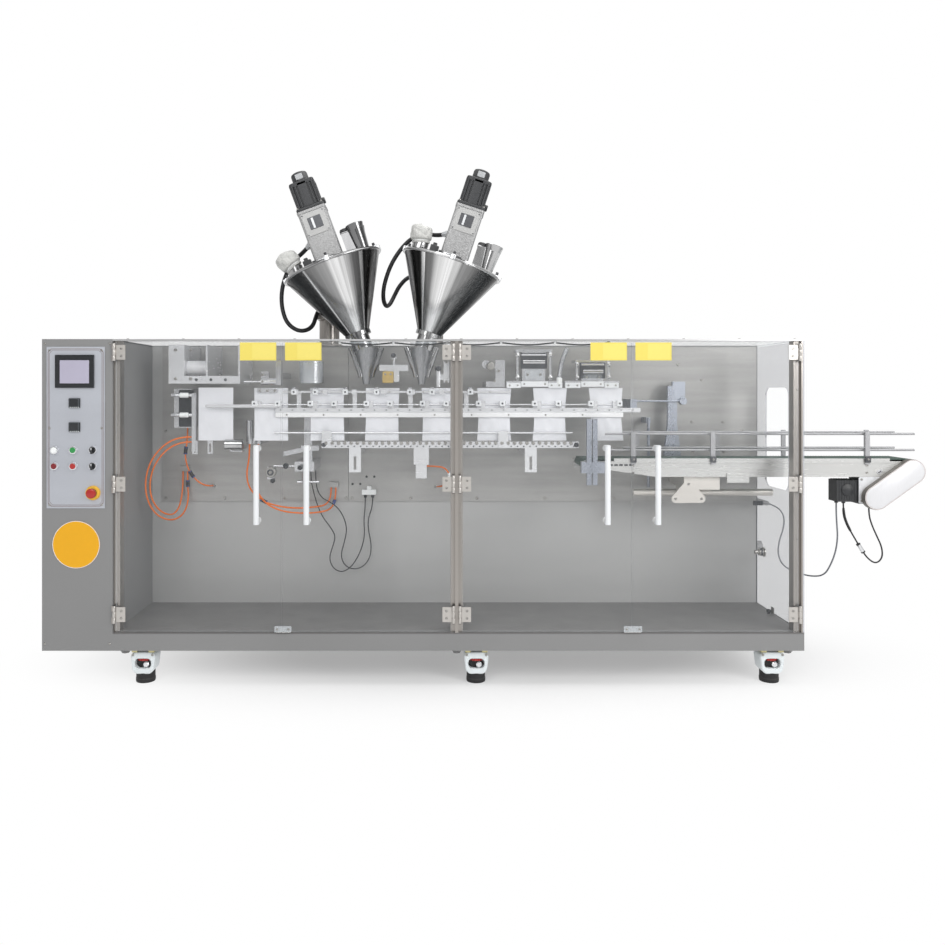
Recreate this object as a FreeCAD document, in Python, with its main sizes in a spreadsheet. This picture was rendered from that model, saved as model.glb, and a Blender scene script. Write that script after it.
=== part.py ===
"""Horizontal form fill seal machine: a glazed cabinet on levelling casters with two tilted
powder hoppers on top, a pouch line inside and an outfeed conveyor on the right.

X runs from the control cabinet to the conveyor, Y from the front to the back and Z up.
The origin is on the floor under the middle of the machine's box. Millimetres and degrees."""
import FreeCAD, Part

import math
import os

# Driving sizes. Places along X count from the left face of the control cabinet, places
# along Y from the front face of the cabinet, and places along Z from the floor.
SIZES = {
    # body
    "body_width": 3240, "body_depth": 1000, "beam_bottom": 150, "beam_height": 71,
    "body_top": 1475, "beam_width": 60, "cross_width": 124,
    "floor_sheet": 6, "cabinet_width": 300, "work_depth": 520,
    "plug_foot_radius": 20, "plug_foot_drop": 12, "plug_foot_offset": 92,
    # bolted plates on the back wall
    "wall_plate": 8, "wall_plate_left": 351, "wall_plate_bottom": 720,
    "wall_seam": 1253, "wall_seam_gap": 2, "wall_block_depth": 22, "wall_block_height": 24,
    "hose_block_left": 443, "hose_block_bottom": 868, "hose_block_width": 44,
    "tee_left": 1158, "tee_bottom": 790, "tee_width": 48, "cable_block_left": 1322,
    "cable_block_bottom": 754, "cable_block_width": 66,
    # fittings on the housing's right side
    "boss_inset": 40, "side_boss_z": 493, "side_boss_radius": 27, "side_boss_reach": 33,
    "cable_connector": 12, "cable_connector_length": 66, "cable_entry_inset": 20,
    # hoses and cables with their glands
    "hopper_hose": 20, "air_hose": 8, "motor_cord": 7, "machine_cord": 7,
    "sensor_cord": 5, "hose_gland": 14, "hose_gland_length": 36, "air_gland": 8,
    "air_gland_length": 16, "motor_gland": 8, "motor_gland_length": 12,
    # posts, top rail and clear covers
    "post_depth": 46, "post_setback": 14, "left_post_width": 27, "centre_post_left": 1737,
    "centre_post_width": 52, "right_post_width": 34, "strip_gap": 6.5,
    "rail_height": 8, "rail_depth": 30, "cover_sheet": 6, "cover_hole": 66,
    "slot_front": 149, "slot_back": 403, "slot_bottom": 810, "slot_top": 1270,
    "slot_corner": 40,
    # doors and their hinges
    "door_sheet": 8, "door_gap": 6, "door_meet_left": 1018, "door_meet_right": 2509,
    "meeting_gap": 6, "pin_setoff": 6, "pin_radius": 3, "pin_play": 0.3,
    "knuckle_radius": 6, "leaf_width": 47, "leaf_height": 63, "leaf_sheet": 3,
    "leaf_setoff": 8, "fixed_leaf": 12, "knuckle_overhang": 6, "knuckle_gap": 0.5,
    "hinge_low": 273, "hinge_mid": 827, "hinge_drop": 88,
    "pin_1": 308, "pin_2": 1749, "pin_3": 1776.5, "pin_4": 3221,
    "handle_1": 918, "handle_2": 1129, "handle_3": 2397, "handle_4": 2609,
    "handle_bottom": 692, "handle_length": 333, "handle_radius": 12, "handle_reach": 50,
    "handle_foot": 22,
    # control panel
    "panel_left": 21, "panel_bottom": 756, "panel_width": 247, "panel_height": 686,
    "panel_sheet": 3, "screen_left": 59.5, "screen_bottom": 1267.5, "screen_width": 164,
    "screen_height": 140, "screen_depth": 8, "dial_left": 117, "dial_width": 47,
    "dial_height": 40, "dial_depth": 5, "dial_high": 1183, "dial_low": 1081,
    "button_radius": 15, "button_depth": 12, "button_x_1": 56.5, "button_x_2": 136.5,
    "button_x_3": 220.5, "button_high": 1003.5, "button_low": 935.5, "knob_width": 9,
    "knob_depth": 14, "stop_x": 219, "stop_z": 821.5, "stop_ring": 28.5, "stop_cap": 20,
    "stop_ring_depth": 4, "stop_neck": 14, "stop_depth": 30, "stop_gap": 12,
    "badge_x": 146, "badge_z": 601.5, "badge_radius": 100.5, "badge_sheet": 2,
    # levelling casters
    "caster_left": 417, "caster_mid": 1848, "caster_right": 3119, "caster_inset": 75,
    "caster_plate": 100, "caster_plate_sheet": 5, "caster_width": 117,
    "caster_depth": 84, "caster_bottom": 56, "caster_window": 74,
    "caster_window_bottom": 76, "caster_window_height": 44, "stem_socket": 12,
    "pad_radius": 40, "pad_height": 46, "stem_radius": 9, "adjuster_radius": 30,
    "adjuster_height": 16, "adjuster_bottom": 88,
    # hoppers, each in its own frame with Z up the tilted axis from the outlet
    "hopper_depth": 276, "hopper_1_x": 1324, "hopper_2_x": 1640, "hopper_rise": 28,
    "hopper_tilt_1": -20.4, "hopper_tilt_2": 18.3, "cone_height": 335,
    "cone_radius": 222, "cone_sheet": 4, "outlet_radius": 46, "clamp_radius": 60,
    "clamp_height": 18, "rim_radius": 232, "rim_height": 8, "lid_radius": 226,
    "lid_height": 6, "inlet_x": -165, "inlet_radius": 36, "inlet_height": 50,
    "bag_radius": 47, "bag_height": 112, "bag_gap": 0.3, "vent_x": 158,
    "vent_radius": 26, "vent_top_radius": 38, "vent_height": 128, "vent_spread": 46,
    "gearbox_width": 130, "gearbox_depth": 124, "gearbox_height": 266,
    "gearbox_foot": 82, "foot_height": 16, "motor_width": 112, "motor_height": 132,
    "encoder_width": 74, "encoder_height": 50, "sensor_x": 108, "sensor_width": 44,
    "sensor_height": 110, "boss_bottom": 100, "boss_height": 40, "boss_reach": 190,
    # columns that carry the hoppers
    "column_radius": 49, "column_1_x": 1151, "column_2_x": 1665, "column_depth": 600,
    "column_height": 200, "arm_height": 34, "arm_rise": 125, "foot_plate": 8,
    "foot_plate_width": 130, "column_gland_1": 45, "column_gland_2": 76,
    # discharge heads under the hoppers
    "spout_length": 60, "discharge_x_1": 1358, "discharge_x_2": 1611,
    "discharge_drop": 23, "discharge_bottom": 1287, "discharge_radius": 48,
    "discharge_tip": 13, "side_tube_radius": 12, "side_tube_spread": 70,
    "side_tube_foot": 24, "side_tube_bottom": 1321,
    # film unwind
    "film_bottom": 1288, "film_drop": 11, "film_left": 464, "film_shelf_left": 515,
    "film_right": 788, "film_sheet": 8, "film_shelf_height": 35, "film_plate_width": 72,
    "film_plate_1": 633, "film_plate_2": 780, "roll_depth": 60, "roll_z": 1360,
    "roll_radius": 28,
    # pouch former and hanging film
    "former_left": 474, "former_width": 20, "former_bottom": 1086, "former_height": 178,
    "former_sheet": 12, "former_body": 60, "former_depth": 50, "former_plate_left": 569,
    "former_plate_width": 18, "former_plate_bottom": 980, "former_plate_height": 265,
    "former_rod_low": 1145, "former_rod_high": 1235, "web_left": 594, "web_width": 158,
    "web_height": 241,
    "finger_1": 572, "finger_2": 634, "finger_width": 24, "finger_height": 61,
    "finger_bottom": 968, "finger_slot": 8, "finger_slot_height": 40, "finger_margin": 7,
    "chute_left": 713,
    "chute_width": 75, "chute_height": 50, "chute_bottom": 976, "chute_sheet": 6,
    "chute_depth": 60,
    # pouch line
    "line_depth": 240, "bar_depth": 10, "main_bar_left": 949, "main_bar_right": 2524,
    "main_bar_bottom": 1135, "main_bar_height": 23, "hole_bar_height": 20,
    "hole_bar_right": 2604, "upper_bar_left": 984, "upper_bar_right": 2013,
    "upper_bar_bottom": 1246, "upper_bar_height": 9, "thin_rod_radius": 3,
    "arm_width": 20, "arm_tall": 26, "pouch_sheet": 6, "pouch_width": 154,
    "pouch_first": 850, "pouch_pitch": 253.5, "pouch_bottom": 1029, "pouch_top": 1268,
    "pouch_gap": 0.3, "grip_width": 22, "grip_height": 30, "grip_depth": 16,
    "grip_inset": 25, "grip_pair": 92, "clamp_inset": 48, "clamp_pitch": 132,
    "clamp_drop": 7,
    # roller rail, guide rod and supports
    "roller_rail_left": 1157, "roller_rail_right": 2323, "roller_rail_bottom": 996,
    "roller_rail_height": 29, "roller_rail_depth": 24, "guide_rod_z": 1065,
    "guide_rod_radius": 4, "guide_rod_left": 943, "guide_rod_right": 2296,
    "holder_width": 44, "holder_sheet": 5, "holder_1": 1160, "holder_2": 1959,
    "support_1": 1282, "support_2": 2079, "support_width": 54, "support_height": 110,
    "support_slot": 12, "support_slot_height": 60, "support_shelf": 34,
    "mid_block_left": 1575, "mid_block_width": 69, "mid_block_height": 76,
    "mid_block_depth": 40, "mid_bracket_height": 62, "mid_bracket_width": 50,
    # opening station and lower station
    "opener_left": 879, "opener_rod_left": 800, "opener_z": 1297,
    "opener_radius": 16, "opener_depth": 30, "clevis_width": 36, "clevis_height": 46,
    "opener_plate_left": 950, "opener_plate_width": 25, "opener_plate_height": 112,
    "cup_x": 1105, "cup_depth": 60, "cup_bottom": 1290, "cup_radius": 55,
    "cup_height": 100, "cup_wall": 4, "lower_post_left": 1070, "lower_post_width": 37,
    "lower_post_bottom": 886, "lower_post_height": 246, "lower_depth": 60,
    "lower_block_left": 1029, "lower_block_width": 89, "lower_block_height": 45,
    "lower_rod_reach": 100, "lower_rod_radius": 6, "lower_ball_radius": 14,
    "actuator_1": 810, "actuator_2": 852, "actuator_depth": 100, "actuator_bottom": 1009,
    "actuator_radius": 16, "actuator_height": 109,
    "shelf_left": 1057, "shelf_bottom": 981, "shelf_width": 82, "shelf_height": 23,
    "cross_rod_left": 1038, "cross_rod_length": 101, "grey_block_left": 902,
    "grey_block_bottom": 849, "grey_block_width": 32, "grey_block_height": 58,
    "angled_left": 975, "angled_bottom": 954, "angled_height": 22,
    # filling bridge
    "bridge_left": 1418, "bridge_width": 132, "bridge_bottom": 1346, "bridge_height": 28,
    "bridge_knob_height": 69, "knob_stem": 6, "bridge_block": 50, "valve_x": 1687,
    "valve_bottom": 1273, "valve_radius": 11, "valve_height": 96,
    "valve_plate_left": 1711, "valve_plate_width": 26,
    # wheel unit and sealing heads
    "head_setback": 20, "wheel_unit_left": 1904, "wheel_unit_width": 86,
    "wheel_unit_bottom": 1272, "wheel_unit_height": 123, "small_wheel": 19,
    "head_1_left": 2068, "head_1_width": 105, "head_1_top": 1444, "head_2_left": 2337,
    "head_2_width": 100, "head_2_top": 1396, "jaws_1_left": 1995, "jaws_1_width": 255,
    "jaws_2_left": 2260, "jaws_2_width": 246, "jaw_bottom": 1272, "jaw_height": 28,
    "jaw_depth": 34, "head_depth": 90, "head_lip": 30, "head_cap": 12,
    # lever, twin bars and thin link
    "link_depth": 170, "lever_x": 2797, "lever_foot": 873, "lever_foot_width": 100,
    "lever_waist_width": 46, "lever_sheet": 24, "lever_height": 216,
    "lever_head_width": 44, "lever_head_height": 190, "push_rod_z": 1207,
    "lever_block": 60, "ring_offset": 46, "ring_radius": 17, "ring_depth": 22, "push_rod_left": 2560,
    "push_block_width": 30, "push_block_height": 56, "bars_depth": 150, "bar_1_x": 2344,
    "bar_2_x": 2370, "bars_bottom": 837, "bar_width": 21, "bars_height": 293,
    "bars_clamp_left": 2320, "bars_clamp_z": 890, "bars_clamp_width": 110,
    "bars_clamp_height": 49, "thin_link_x": 2683, "thin_link_radius": 7,
    "thin_link_bottom": 799, "thin_link_height": 330,
    # conveyor
    "conveyor_front": 180, "conveyor_width": 200, "conveyor_top": 941,
    "conveyor_nose": 2323, "conveyor_end": 3812,
    "side_sheet": 6, "side_height": 70, "nose_height": 41, "taper_start": 2457,
    "taper_end": 2657, "end_bevel": 67, "roller_inset": 24, "nose_roller": 17,
    "drive_roller": 31, "belt_rise": 9, "belt_gap": 2, "roller_play": 0.3, "belt_sheet": 3,
    "tie_width": 80, "clamp_left": 2972, "clamp_bottom": 846, "clamp_width": 99,
    "clamp_tall": 41,
    "post_sheet": 8, "post_width": 20, "post_foot": 14, "rod_inset": 22,
    "guide_radius": 5, "low_rod_z": 990, "high_rod_z": 1062, "front_rods_left": 2434,
    "rear_rods_left": 2551, "rods_right": 3820, "front_post_1": 2545, "front_post_2": 2900,
    "front_post_3": 3262, "front_post_4": 3588, "rear_post_1": 2612,
    "rear_post_2": 2990, "rear_post_3": 3300, "rear_post_4": 3690,
    "guard_depth": 28, "guard_radius": 53, "guard_high_x": 3786, "guard_high_z": 897,
    "guard_low_x": 3626, "guard_low_z": 782, "shaft_radius": 9,
    "gear_left": 3562, "gear_width": 105, "gear_depth": 90, "gear_height": 120,
    "drive_motor_length": 94, "drive_motor_depth": 80, "drive_motor_height": 96,
    "motor_inset": 8, "plate_setback": 24, "plate_x": 2810, "plate_half": 76,
    "plate_corner": 18, "plate_bottom": 752, "plate_height": 103, "plate_sheet": 6,
    "tube_left": 2591, "tube_depth": 150, "tube_z": 785, "tube_radius": 16,
    "bracket_height": 60, "bracket_width": 140,
}

POUCHES = 7
UPPER_TIES = 4
UPPER_CLAMPS = 7
FRONT_POSTS = ("front_post_1", "front_post_2", "front_post_3", "front_post_4")
REAR_POSTS = ("rear_post_1", "rear_post_2", "rear_post_3", "rear_post_4")

# Free hoses and cables: the size that is their thickness, and the points of their
# routes, counted along X, Y and Z as the driving sizes are.
CORDS = {
    "hopper_hose_1": ("hopper_hose", [
        (1081.7, 318, 1916.5), (1056, 346, 1896), (1010, 352, 1862), (974, 350, 1790),
        (956, 348, 1712), (960, 346, 1634), (984, 350, 1566), (1040, 364, 1530),
        (1096, 397, 1552), (1112, 424, 1626), (1134, 480, 1670), (1147, 533, 1676)]),
    "hopper_hose_2": ("hopper_hose", [
        (1709.4, 318, 1977.2), (1677, 346, 1978), (1630, 355, 1990), (1578, 355, 1978),
        (1522, 355, 1930), (1468, 355, 1850), (1435, 355, 1755), (1428, 372, 1690),
        (1438, 425, 1655), (1455, 480, 1668), (1476, 514, 1716), (1500, 520, 1766),
        (1545, 532, 1814), (1606, 562, 1822), (1648, 588, 1778), (1664, 600, 1716)]),
    "motor_lead": ("motor_cord", [
        (3515, 225, 749), (3515, 225, 700), (3532, 224, 650), (3560, 222, 598),
        (3590, 219, 546), (3620, 217, 500), (3656, 214, 476), (3686, 214, 502),
        (3684, 214, 550), (3662, 216, 600), (3642, 220, 648), (3630, 225, 694),
        (3630, 225, 739)]),
    "machine_cable": ("machine_cord", [
        (3300, 540, 705), (3345, 536, 692), (3374, 522, 645), (3362, 508, 585),
        (3335, 495, 528), (3324, 482, 465), (3342, 462, 415), (3390, 425, 392),
        (3440, 375, 384), (3474, 320, 402), (3486, 280, 462), (3498, 260, 525),
        (3502, 250, 592), (3494, 243, 655), (3490, 240, 705), (3490, 240, 749)]),
    "air_hose_1": ("air_hose", [
        (569, 250, 1046), (505, 250, 1046), (425, 262, 1002), (365, 274, 925), (342, 282, 830),
        (350, 296, 745), (385, 325, 675), (440, 370, 645), (480, 425, 668), (489, 475, 730),
        (476, 501, 802), (476, 501, 868)]),
    "air_hose_2": ("air_hose", [
        (569, 256, 1023), (510, 256, 1023), (437, 264, 980), (384, 279, 912), (360, 290, 830),
        (366, 305, 752), (398, 335, 692), (436, 388, 668), (452, 440, 694), (454, 482, 748),
        (454, 501, 812), (454, 501, 868)]),
    "air_hose_3": ("air_hose", [
        (505, 400, 1086), (505, 400, 1024), (490, 404, 955), (502, 412, 885), (540, 424, 828),
        (582, 446, 800), (598, 498, 797)]),
    "air_hose_4": ("air_hose", [
        (810, 340, 1009), (810, 340, 945), (795, 338, 872), (808, 338, 800), (868, 342, 742),
        (950, 352, 714), (1036, 376, 704), (1104, 424, 704), (1150, 474, 706), (1171, 501, 744),
        (1171, 501, 790)]),
    "air_hose_5": ("air_hose", [
        (852, 340, 1009), (852, 340, 948), (836, 328, 876), (840, 324, 800), (888, 328, 730),
        (962, 340, 694), (1050, 364, 682), (1126, 410, 680), (1176, 462, 688), (1193, 501, 734),
        (1193, 501, 790)]),
    "air_hose_6": ("air_hose", [
        (1634.5, 400, 900), (1676, 400, 900), (1722, 404, 892), (1746, 418, 852),
        (1734, 440, 812), (1700, 466, 796), (1684, 502, 792)]),
    "sensor_cable_1": ("sensor_cord", [
        (1100, 470, 886), (1100, 470, 838), (1108, 452, 786), (1132, 438, 746),
        (1174, 434, 726), (1212, 440, 696), (1238, 458, 648), (1250, 476, 590),
        (1236, 488, 525), (1218, 488, 465), (1234, 488, 415), (1280, 488, 392),
        (1330, 488, 408), (1362, 488, 455), (1366, 488, 520), (1352, 488, 580),
        (1350, 488, 640), (1372, 500, 698), (1372, 500, 754)]),
    "sensor_cable_2": ("sensor_cord", [
        (1078, 462, 886), (1078, 462, 832), (1090, 468, 770), (1108, 468, 708),
        (1134, 470, 648), (1170, 472, 602), (1196, 472, 558), (1182, 472, 508),
        (1164, 472, 455), (1180, 472, 406), (1222, 472, 382), (1266, 472, 404),
        (1300, 472, 452), (1324, 472, 508), (1336, 473, 570), (1330, 478, 634),
        (1336, 500, 696), (1336, 500, 754)]),
}
CORNER_SHARE = 0.45


class Size:
    """A number together with the spreadsheet expression that gives it."""

    def __init__(self, text, value):
        self.text = text
        self.value = value

    def __add__(self, other):
        other = size(other)
        return Size(f"({self.text} + {other.text})", self.value + other.value)

    def __radd__(self, other):
        return size(other) + self

    def __sub__(self, other):
        other = size(other)
        return Size(f"({self.text} - {other.text})", self.value - other.value)

    def __rsub__(self, other):
        return size(other) - self

    def __mul__(self, other):
        other = size(other)
        return Size(f"({self.text} * {other.text})", self.value * other.value)

    def __rmul__(self, other):
        return size(other) * self

    def __truediv__(self, other):
        other = size(other)
        return Size(f"({self.text} / {other.text})", self.value / other.value)

    def __neg__(self):
        return Size(f"(-1 * {self.text})", -self.value)


def size(amount):
    """Wrap a plain number, so that sizes and numbers mix."""
    if isinstance(amount, Size):
        return amount
    return Size(repr(amount), amount)


def sine(angle):
    """The sine of an angle in degrees."""
    return Size(f"sin({angle.text})", math.sin(math.radians(angle.value)))


def slope(run, rise):
    """The lean to +X of a line with this run and rise."""
    return Size(f"atan({run.text} / {rise.text})",
                math.degrees(math.atan(run.value / rise.value)))


def span(run, rise):
    """The length of a line with this run and rise."""
    return Size(f"sqrt(({run.text}) ^ 2 + ({rise.text}) ^ 2)",
                math.hypot(run.value, rise.value))


class Sheet:
    """Gives each driving size by its name."""

    def __getattr__(self, name):
        return Size("Sizes." + name, SIZES[name])


s = Sheet()
doc = FreeCAD.newDocument("FormFillSealMachine")
sheet = doc.addObject("Spreadsheet::Sheet", "Sizes")
for row, (name, number) in enumerate(SIZES.items(), start=1):
    sheet.set(f"A{row}", name)
    sheet.set(f"B{row}", str(number))
    sheet.setAlias(f"B{row}", name)
doc.recompute()
nodes = []
cords = {}

AXES = {
    "X": FreeCAD.Rotation(FreeCAD.Vector(0, 0, 1), FreeCAD.Vector(1, 0, 0)),
    "Y": FreeCAD.Rotation(FreeCAD.Vector(0, 0, 1), FreeCAD.Vector(0, 1, 0)),
    "Z": FreeCAD.Rotation(),
}


def bind(obj, **properties):
    """Tie each property to its expression. An _at_ in a name stands for a dot."""
    for name, amount in properties.items():
        obj.setExpression(name.replace("_at_", "."), size(amount).text)
    return obj


def put(obj, x, y, z, turn=None):
    """Place an object at a point, with an optional fixed turn."""
    if turn is not None:
        obj.Placement = FreeCAD.Placement(FreeCAD.Vector(), turn)
    bind(obj, Placement_at_Base_at_x=x, Placement_at_Base_at_y=y, Placement_at_Base_at_z=z)
    return obj


def box(x, y, z, dx, dy, dz):
    """A block from its low corner."""
    block = doc.addObject("Part::Box", "block")
    bind(block, Length=dx, Width=dy, Height=dz)
    return put(block, x, y, z)


def rod(x, y, z, radius, length, axis="Z"):
    """A cylinder from the middle of its first end face."""
    cylinder = doc.addObject("Part::Cylinder", "rod")
    bind(cylinder, Radius=radius, Height=length)
    return put(cylinder, x, y, z, AXES[axis])


def cone(x, y, z, low_radius, high_radius, length):
    """An upright cone or funnel from the middle of its lower face."""
    funnel = doc.addObject("Part::Cone", "funnel")
    bind(funnel, Radius1=low_radius, Radius2=high_radius, Height=length)
    return put(funnel, x, y, z)


def wedge(x, y, z, foot_width, head_width, depth, height):
    """An upright tapered bar from the middle of the front edge of its foot."""
    bar = doc.addObject("Part::Wedge", "bar")
    bind(bar, Xmin=-foot_width / 2, Xmax=foot_width / 2, X2min=-head_width / 2,
         X2max=head_width / 2, Ymin=0, Ymax=height, Zmin=-depth, Zmax=0, Z2min=-depth, Z2max=0)
    upright = FreeCAD.Rotation(FreeCAD.Vector(1, 0, 0), 90)
    return put(bar, x, y, z, upright)


def leaning(obj, x, y, z, tilt):
    """Stand a piece made round the origin at a point, leaning to +X by the tilt."""
    obj.Placement = FreeCAD.Placement(
        FreeCAD.Vector(), FreeCAD.Rotation(FreeCAD.Vector(0, 1, 0), 1))
    bind(obj, Placement_at_Rotation_at_Angle=tilt)
    return put(obj, x, y, z)


def strut(x1, z1, x2, z2, y, radius):
    """A round bar between two points of one upright plane, the first point the lower."""
    bar = group([rod(0, 0, 0, radius, span(x2 - x1, z2 - z1))])
    return leaning(bar, x1, y, z1, slope(x2 - x1, z2 - z1))


def prism(points, y, depth):
    """A flat plate with an outline in X and Z, with its thickness along Y."""
    corners = [FreeCAD.Vector(size(x).value, size(y).value, size(z).value)
               for x, z in points]
    face = Part.Face(Part.makePolygon(corners + corners[:1]))
    plate = doc.addObject("Part::Feature", "plate")
    plate.Shape = face.extrude(FreeCAD.Vector(0, size(depth).value, 0))
    return plate


def fused(pieces):
    """One solid of pieces that touch."""
    if len(pieces) == 1:
        return pieces[0]
    union = doc.addObject("Part::MultiFuse", "union")
    union.Shapes = pieces
    union.Refine = True
    return union


def less(base, tools):
    """A piece with other shapes cut out of it."""
    cut = doc.addObject("Part::Cut", "cut")
    cut.Base = base
    cut.Tool = fused(tools)
    cut.Refine = True
    return cut


def group(pieces):
    """Separate solids kept together."""
    together = doc.addObject("Part::Compound", "group")
    together.Links = pieces
    return together


def place(point):
    """A point of a cord's route in the part's own frame."""
    x, y, z = point
    return FreeCAD.Vector(left.value + x, front.value + y, z)


def gland(route, radius, length):
    """A round fitting behind the first point of a route, in line with the first run."""
    start = place(route[0])
    fitting = doc.addObject("Part::Cylinder", "gland")
    bind(fitting, Radius=radius, Height=length)
    turn = FreeCAD.Rotation(FreeCAD.Vector(0, 0, 1), start - place(route[1]))
    fitting.Placement = FreeCAD.Placement(start, turn)
    return fitting


def cord(label, thickness, route):
    """A hose or cable: straight runs joined by tangent arcs, with a round section."""
    corners = [place(point) for point in route]
    edges = []
    radii = []
    start = corners[0]
    for before, corner, after in zip(corners, corners[1:], corners[2:]):
        arrive = corner - before
        leave = after - corner
        cut = CORNER_SHARE * min(arrive.Length, leave.Length)
        half_turn = arrive.getAngle(leave) / 2
        radius = cut / math.tan(half_turn)
        arrive.normalize()
        leave.normalize()
        inward = leave - arrive
        inward.normalize()
        enter = corner - arrive * cut
        finish = corner + leave * cut
        middle = corner + inward * (radius / math.cos(half_turn) - radius)
        edges.append(Part.LineSegment(start, enter).toShape())
        edges.append(Part.Arc(enter, middle, finish).toShape())
        radii.append(round(radius))
        start = finish
    edges.append(Part.LineSegment(start, corners[-1]).toShape())
    line = doc.addObject("Part::Feature", "line")
    line.Shape = Part.Wire(edges)
    section = doc.addObject("Part::Circle", "section")
    bind(section, Radius=thickness / 2)
    turn = FreeCAD.Rotation(FreeCAD.Vector(0, 0, 1), corners[1] - corners[0])
    section.Placement = FreeCAD.Placement(corners[0], turn)
    tube = doc.addObject("Part::Sweep", "tube")
    tube.Sections = [section]
    tube.Spine = (line, [f"Edge{number + 1}" for number in range(len(edges))])
    tube.Solid = True
    tube.Transition = "Transformed"
    cords[label] = line.Shape.Length * math.pi * (thickness.value / 2) ** 2
    print(f"{label}: {line.Shape.Length:.0f} mm long, bends of {radii} mm")
    node(label, tube)


def node(label, piece):
    """Name a finished sub-part."""
    piece.Label = label
    nodes.append(piece)
    return piece


# Places that several pieces share.
left = -(s.guard_high_x + s.guard_radius) / 2
front = -(s.body_depth - s.handle_reach) / 2
back_wall = front + s.work_depth
wall_face = back_wall - s.wall_plate
line_front = front + s.line_depth
hopper_y = front + s.hopper_depth
beam_top = s.beam_bottom + s.beam_height
floor_top = beam_top + s.floor_sheet
rail_bottom = s.body_top - s.rail_height
hinge_places = (s.hinge_low, s.hinge_mid, s.body_top - s.hinge_drop)
hopper_z = s.body_top + s.hopper_rise
discharge_top = s.body_top - s.discharge_drop
chamber_left = left + s.cabinet_width
chamber_right = left + s.body_width
chamber_width = s.body_width - s.cabinet_width
panel_left_face = chamber_right - s.cover_sheet
door_bottom = floor_top + s.door_gap
door_height = rail_bottom - s.door_gap - door_bottom
pin_y = front - s.pin_setoff
caster_places = [left + x for x in (s.caster_left, s.caster_mid, s.caster_right)]
caster_rows = [front + s.caster_inset, front + s.body_depth - s.caster_inset]


def base_frame():
    """Perimeter beams with cross members and the round plug feet beside the casters."""
    pieces = []
    for y in (front, front + s.body_depth - s.beam_width):
        pieces.append(box(chamber_left, y, s.beam_bottom, chamber_width, s.beam_width,
                          s.beam_height))
    for x in (chamber_left, chamber_right - s.beam_width):
        pieces.append(box(x, front, s.beam_bottom, s.beam_width, s.body_depth, s.beam_height))
    for x in caster_places:
        pieces.append(box(x - s.cross_width / 2, front, s.beam_bottom, s.cross_width,
                          s.body_depth, s.beam_height))
        for y in caster_rows:
            pieces.append(rod(x - s.plug_foot_offset, y, s.beam_bottom - s.plug_foot_drop,
                              s.plug_foot_radius, s.plug_foot_drop))
            pieces.append(box(x - s.plug_foot_offset - s.plug_foot_radius,
                              y - s.plug_foot_radius, s.beam_bottom,
                              s.plug_foot_offset + s.plug_foot_radius,
                              2 * s.plug_foot_radius, s.floor_sheet))
    node("base_frame", fused(pieces))


def body_shell():
    """Floor sheet, control cabinet, closed rear housing and the bolted wall plates."""
    node("interior_floor", box(chamber_left, front, beam_top, chamber_width,
                               s.work_depth, s.floor_sheet))
    node("control_cabinet", box(left, front, s.beam_bottom, s.cabinet_width,
                                s.body_depth, s.body_top - s.beam_bottom))
    housing = box(chamber_left, back_wall, beam_top, chamber_width,
                  s.body_depth - s.work_depth, s.body_top - beam_top)
    boss = rod(chamber_right, back_wall + s.boss_inset, s.side_boss_z, s.side_boss_radius,
               s.side_boss_reach, "X")
    entry, after = CORDS["machine_cable"][1][:2]
    entry_depth = (s.work_depth + s.cable_entry_inset).value
    first_run = [(entry[0], entry_depth, entry[2]),
                 (after[0], entry_depth + after[1] - entry[1], after[2])]
    connector = gland(first_run, s.cable_connector, s.cable_connector_length)
    node("drive_housing", fused([housing, boss, connector]))
    plate_height = rail_bottom - s.wall_plate_bottom
    seam = left + s.wall_seam
    first = [box(left + s.wall_plate_left, wall_face, s.wall_plate_bottom,
                 s.wall_seam - s.wall_plate_left, s.wall_plate, plate_height),
             wall_block(s.hose_block_left, s.hose_block_bottom, s.hose_block_width),
             wall_block(s.tee_left, s.tee_bottom, s.tee_width)]
    second = [box(seam + s.wall_seam_gap, wall_face, s.wall_plate_bottom,
                  panel_left_face - seam - s.wall_seam_gap, s.wall_plate, plate_height),
              wall_block(s.cable_block_left, s.cable_block_bottom, s.cable_block_width)]
    for pieces, label in ((first, "air_hose_3"), (second, "air_hose_6")):
        pieces.append(gland(CORDS[label][1][::-1], s.air_gland, s.air_gland_length))
    node("back_plates", group([fused(first), fused(second)]))


def wall_block(x, bottom, width):
    """A connector block on the wall, with its hoses or cables at its lower face."""
    return box(left + x, wall_face - s.wall_block_depth, bottom, width, s.wall_block_depth,
               s.wall_block_height)


def knuckles(pin_x, toward):
    """Fixed hinge leaves, knuckles and pins of one post. Toward is -1 where the leaf
    lies to the left of its pin and 1 where it lies to the right."""
    solids = []
    third = (s.leaf_height + 2 * s.knuckle_overhang) / 3
    leaf_x = pin_x - s.fixed_leaf if toward < 0 else pin_x
    for bottom in hinge_places:
        low = bottom - s.knuckle_overhang
        pieces = [rod(pin_x, pin_y, low, s.pin_radius, 3 * third)]
        for start in (low, low + 2 * third + s.knuckle_gap):
            length = third - s.knuckle_gap
            pieces.append(rod(pin_x, pin_y, start, s.knuckle_radius, length))
            pieces.append(box(leaf_x, front - s.leaf_sheet, start, s.fixed_leaf,
                              s.leaf_sheet, length))
        solids.append(fused(pieces))
    return solids


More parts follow.
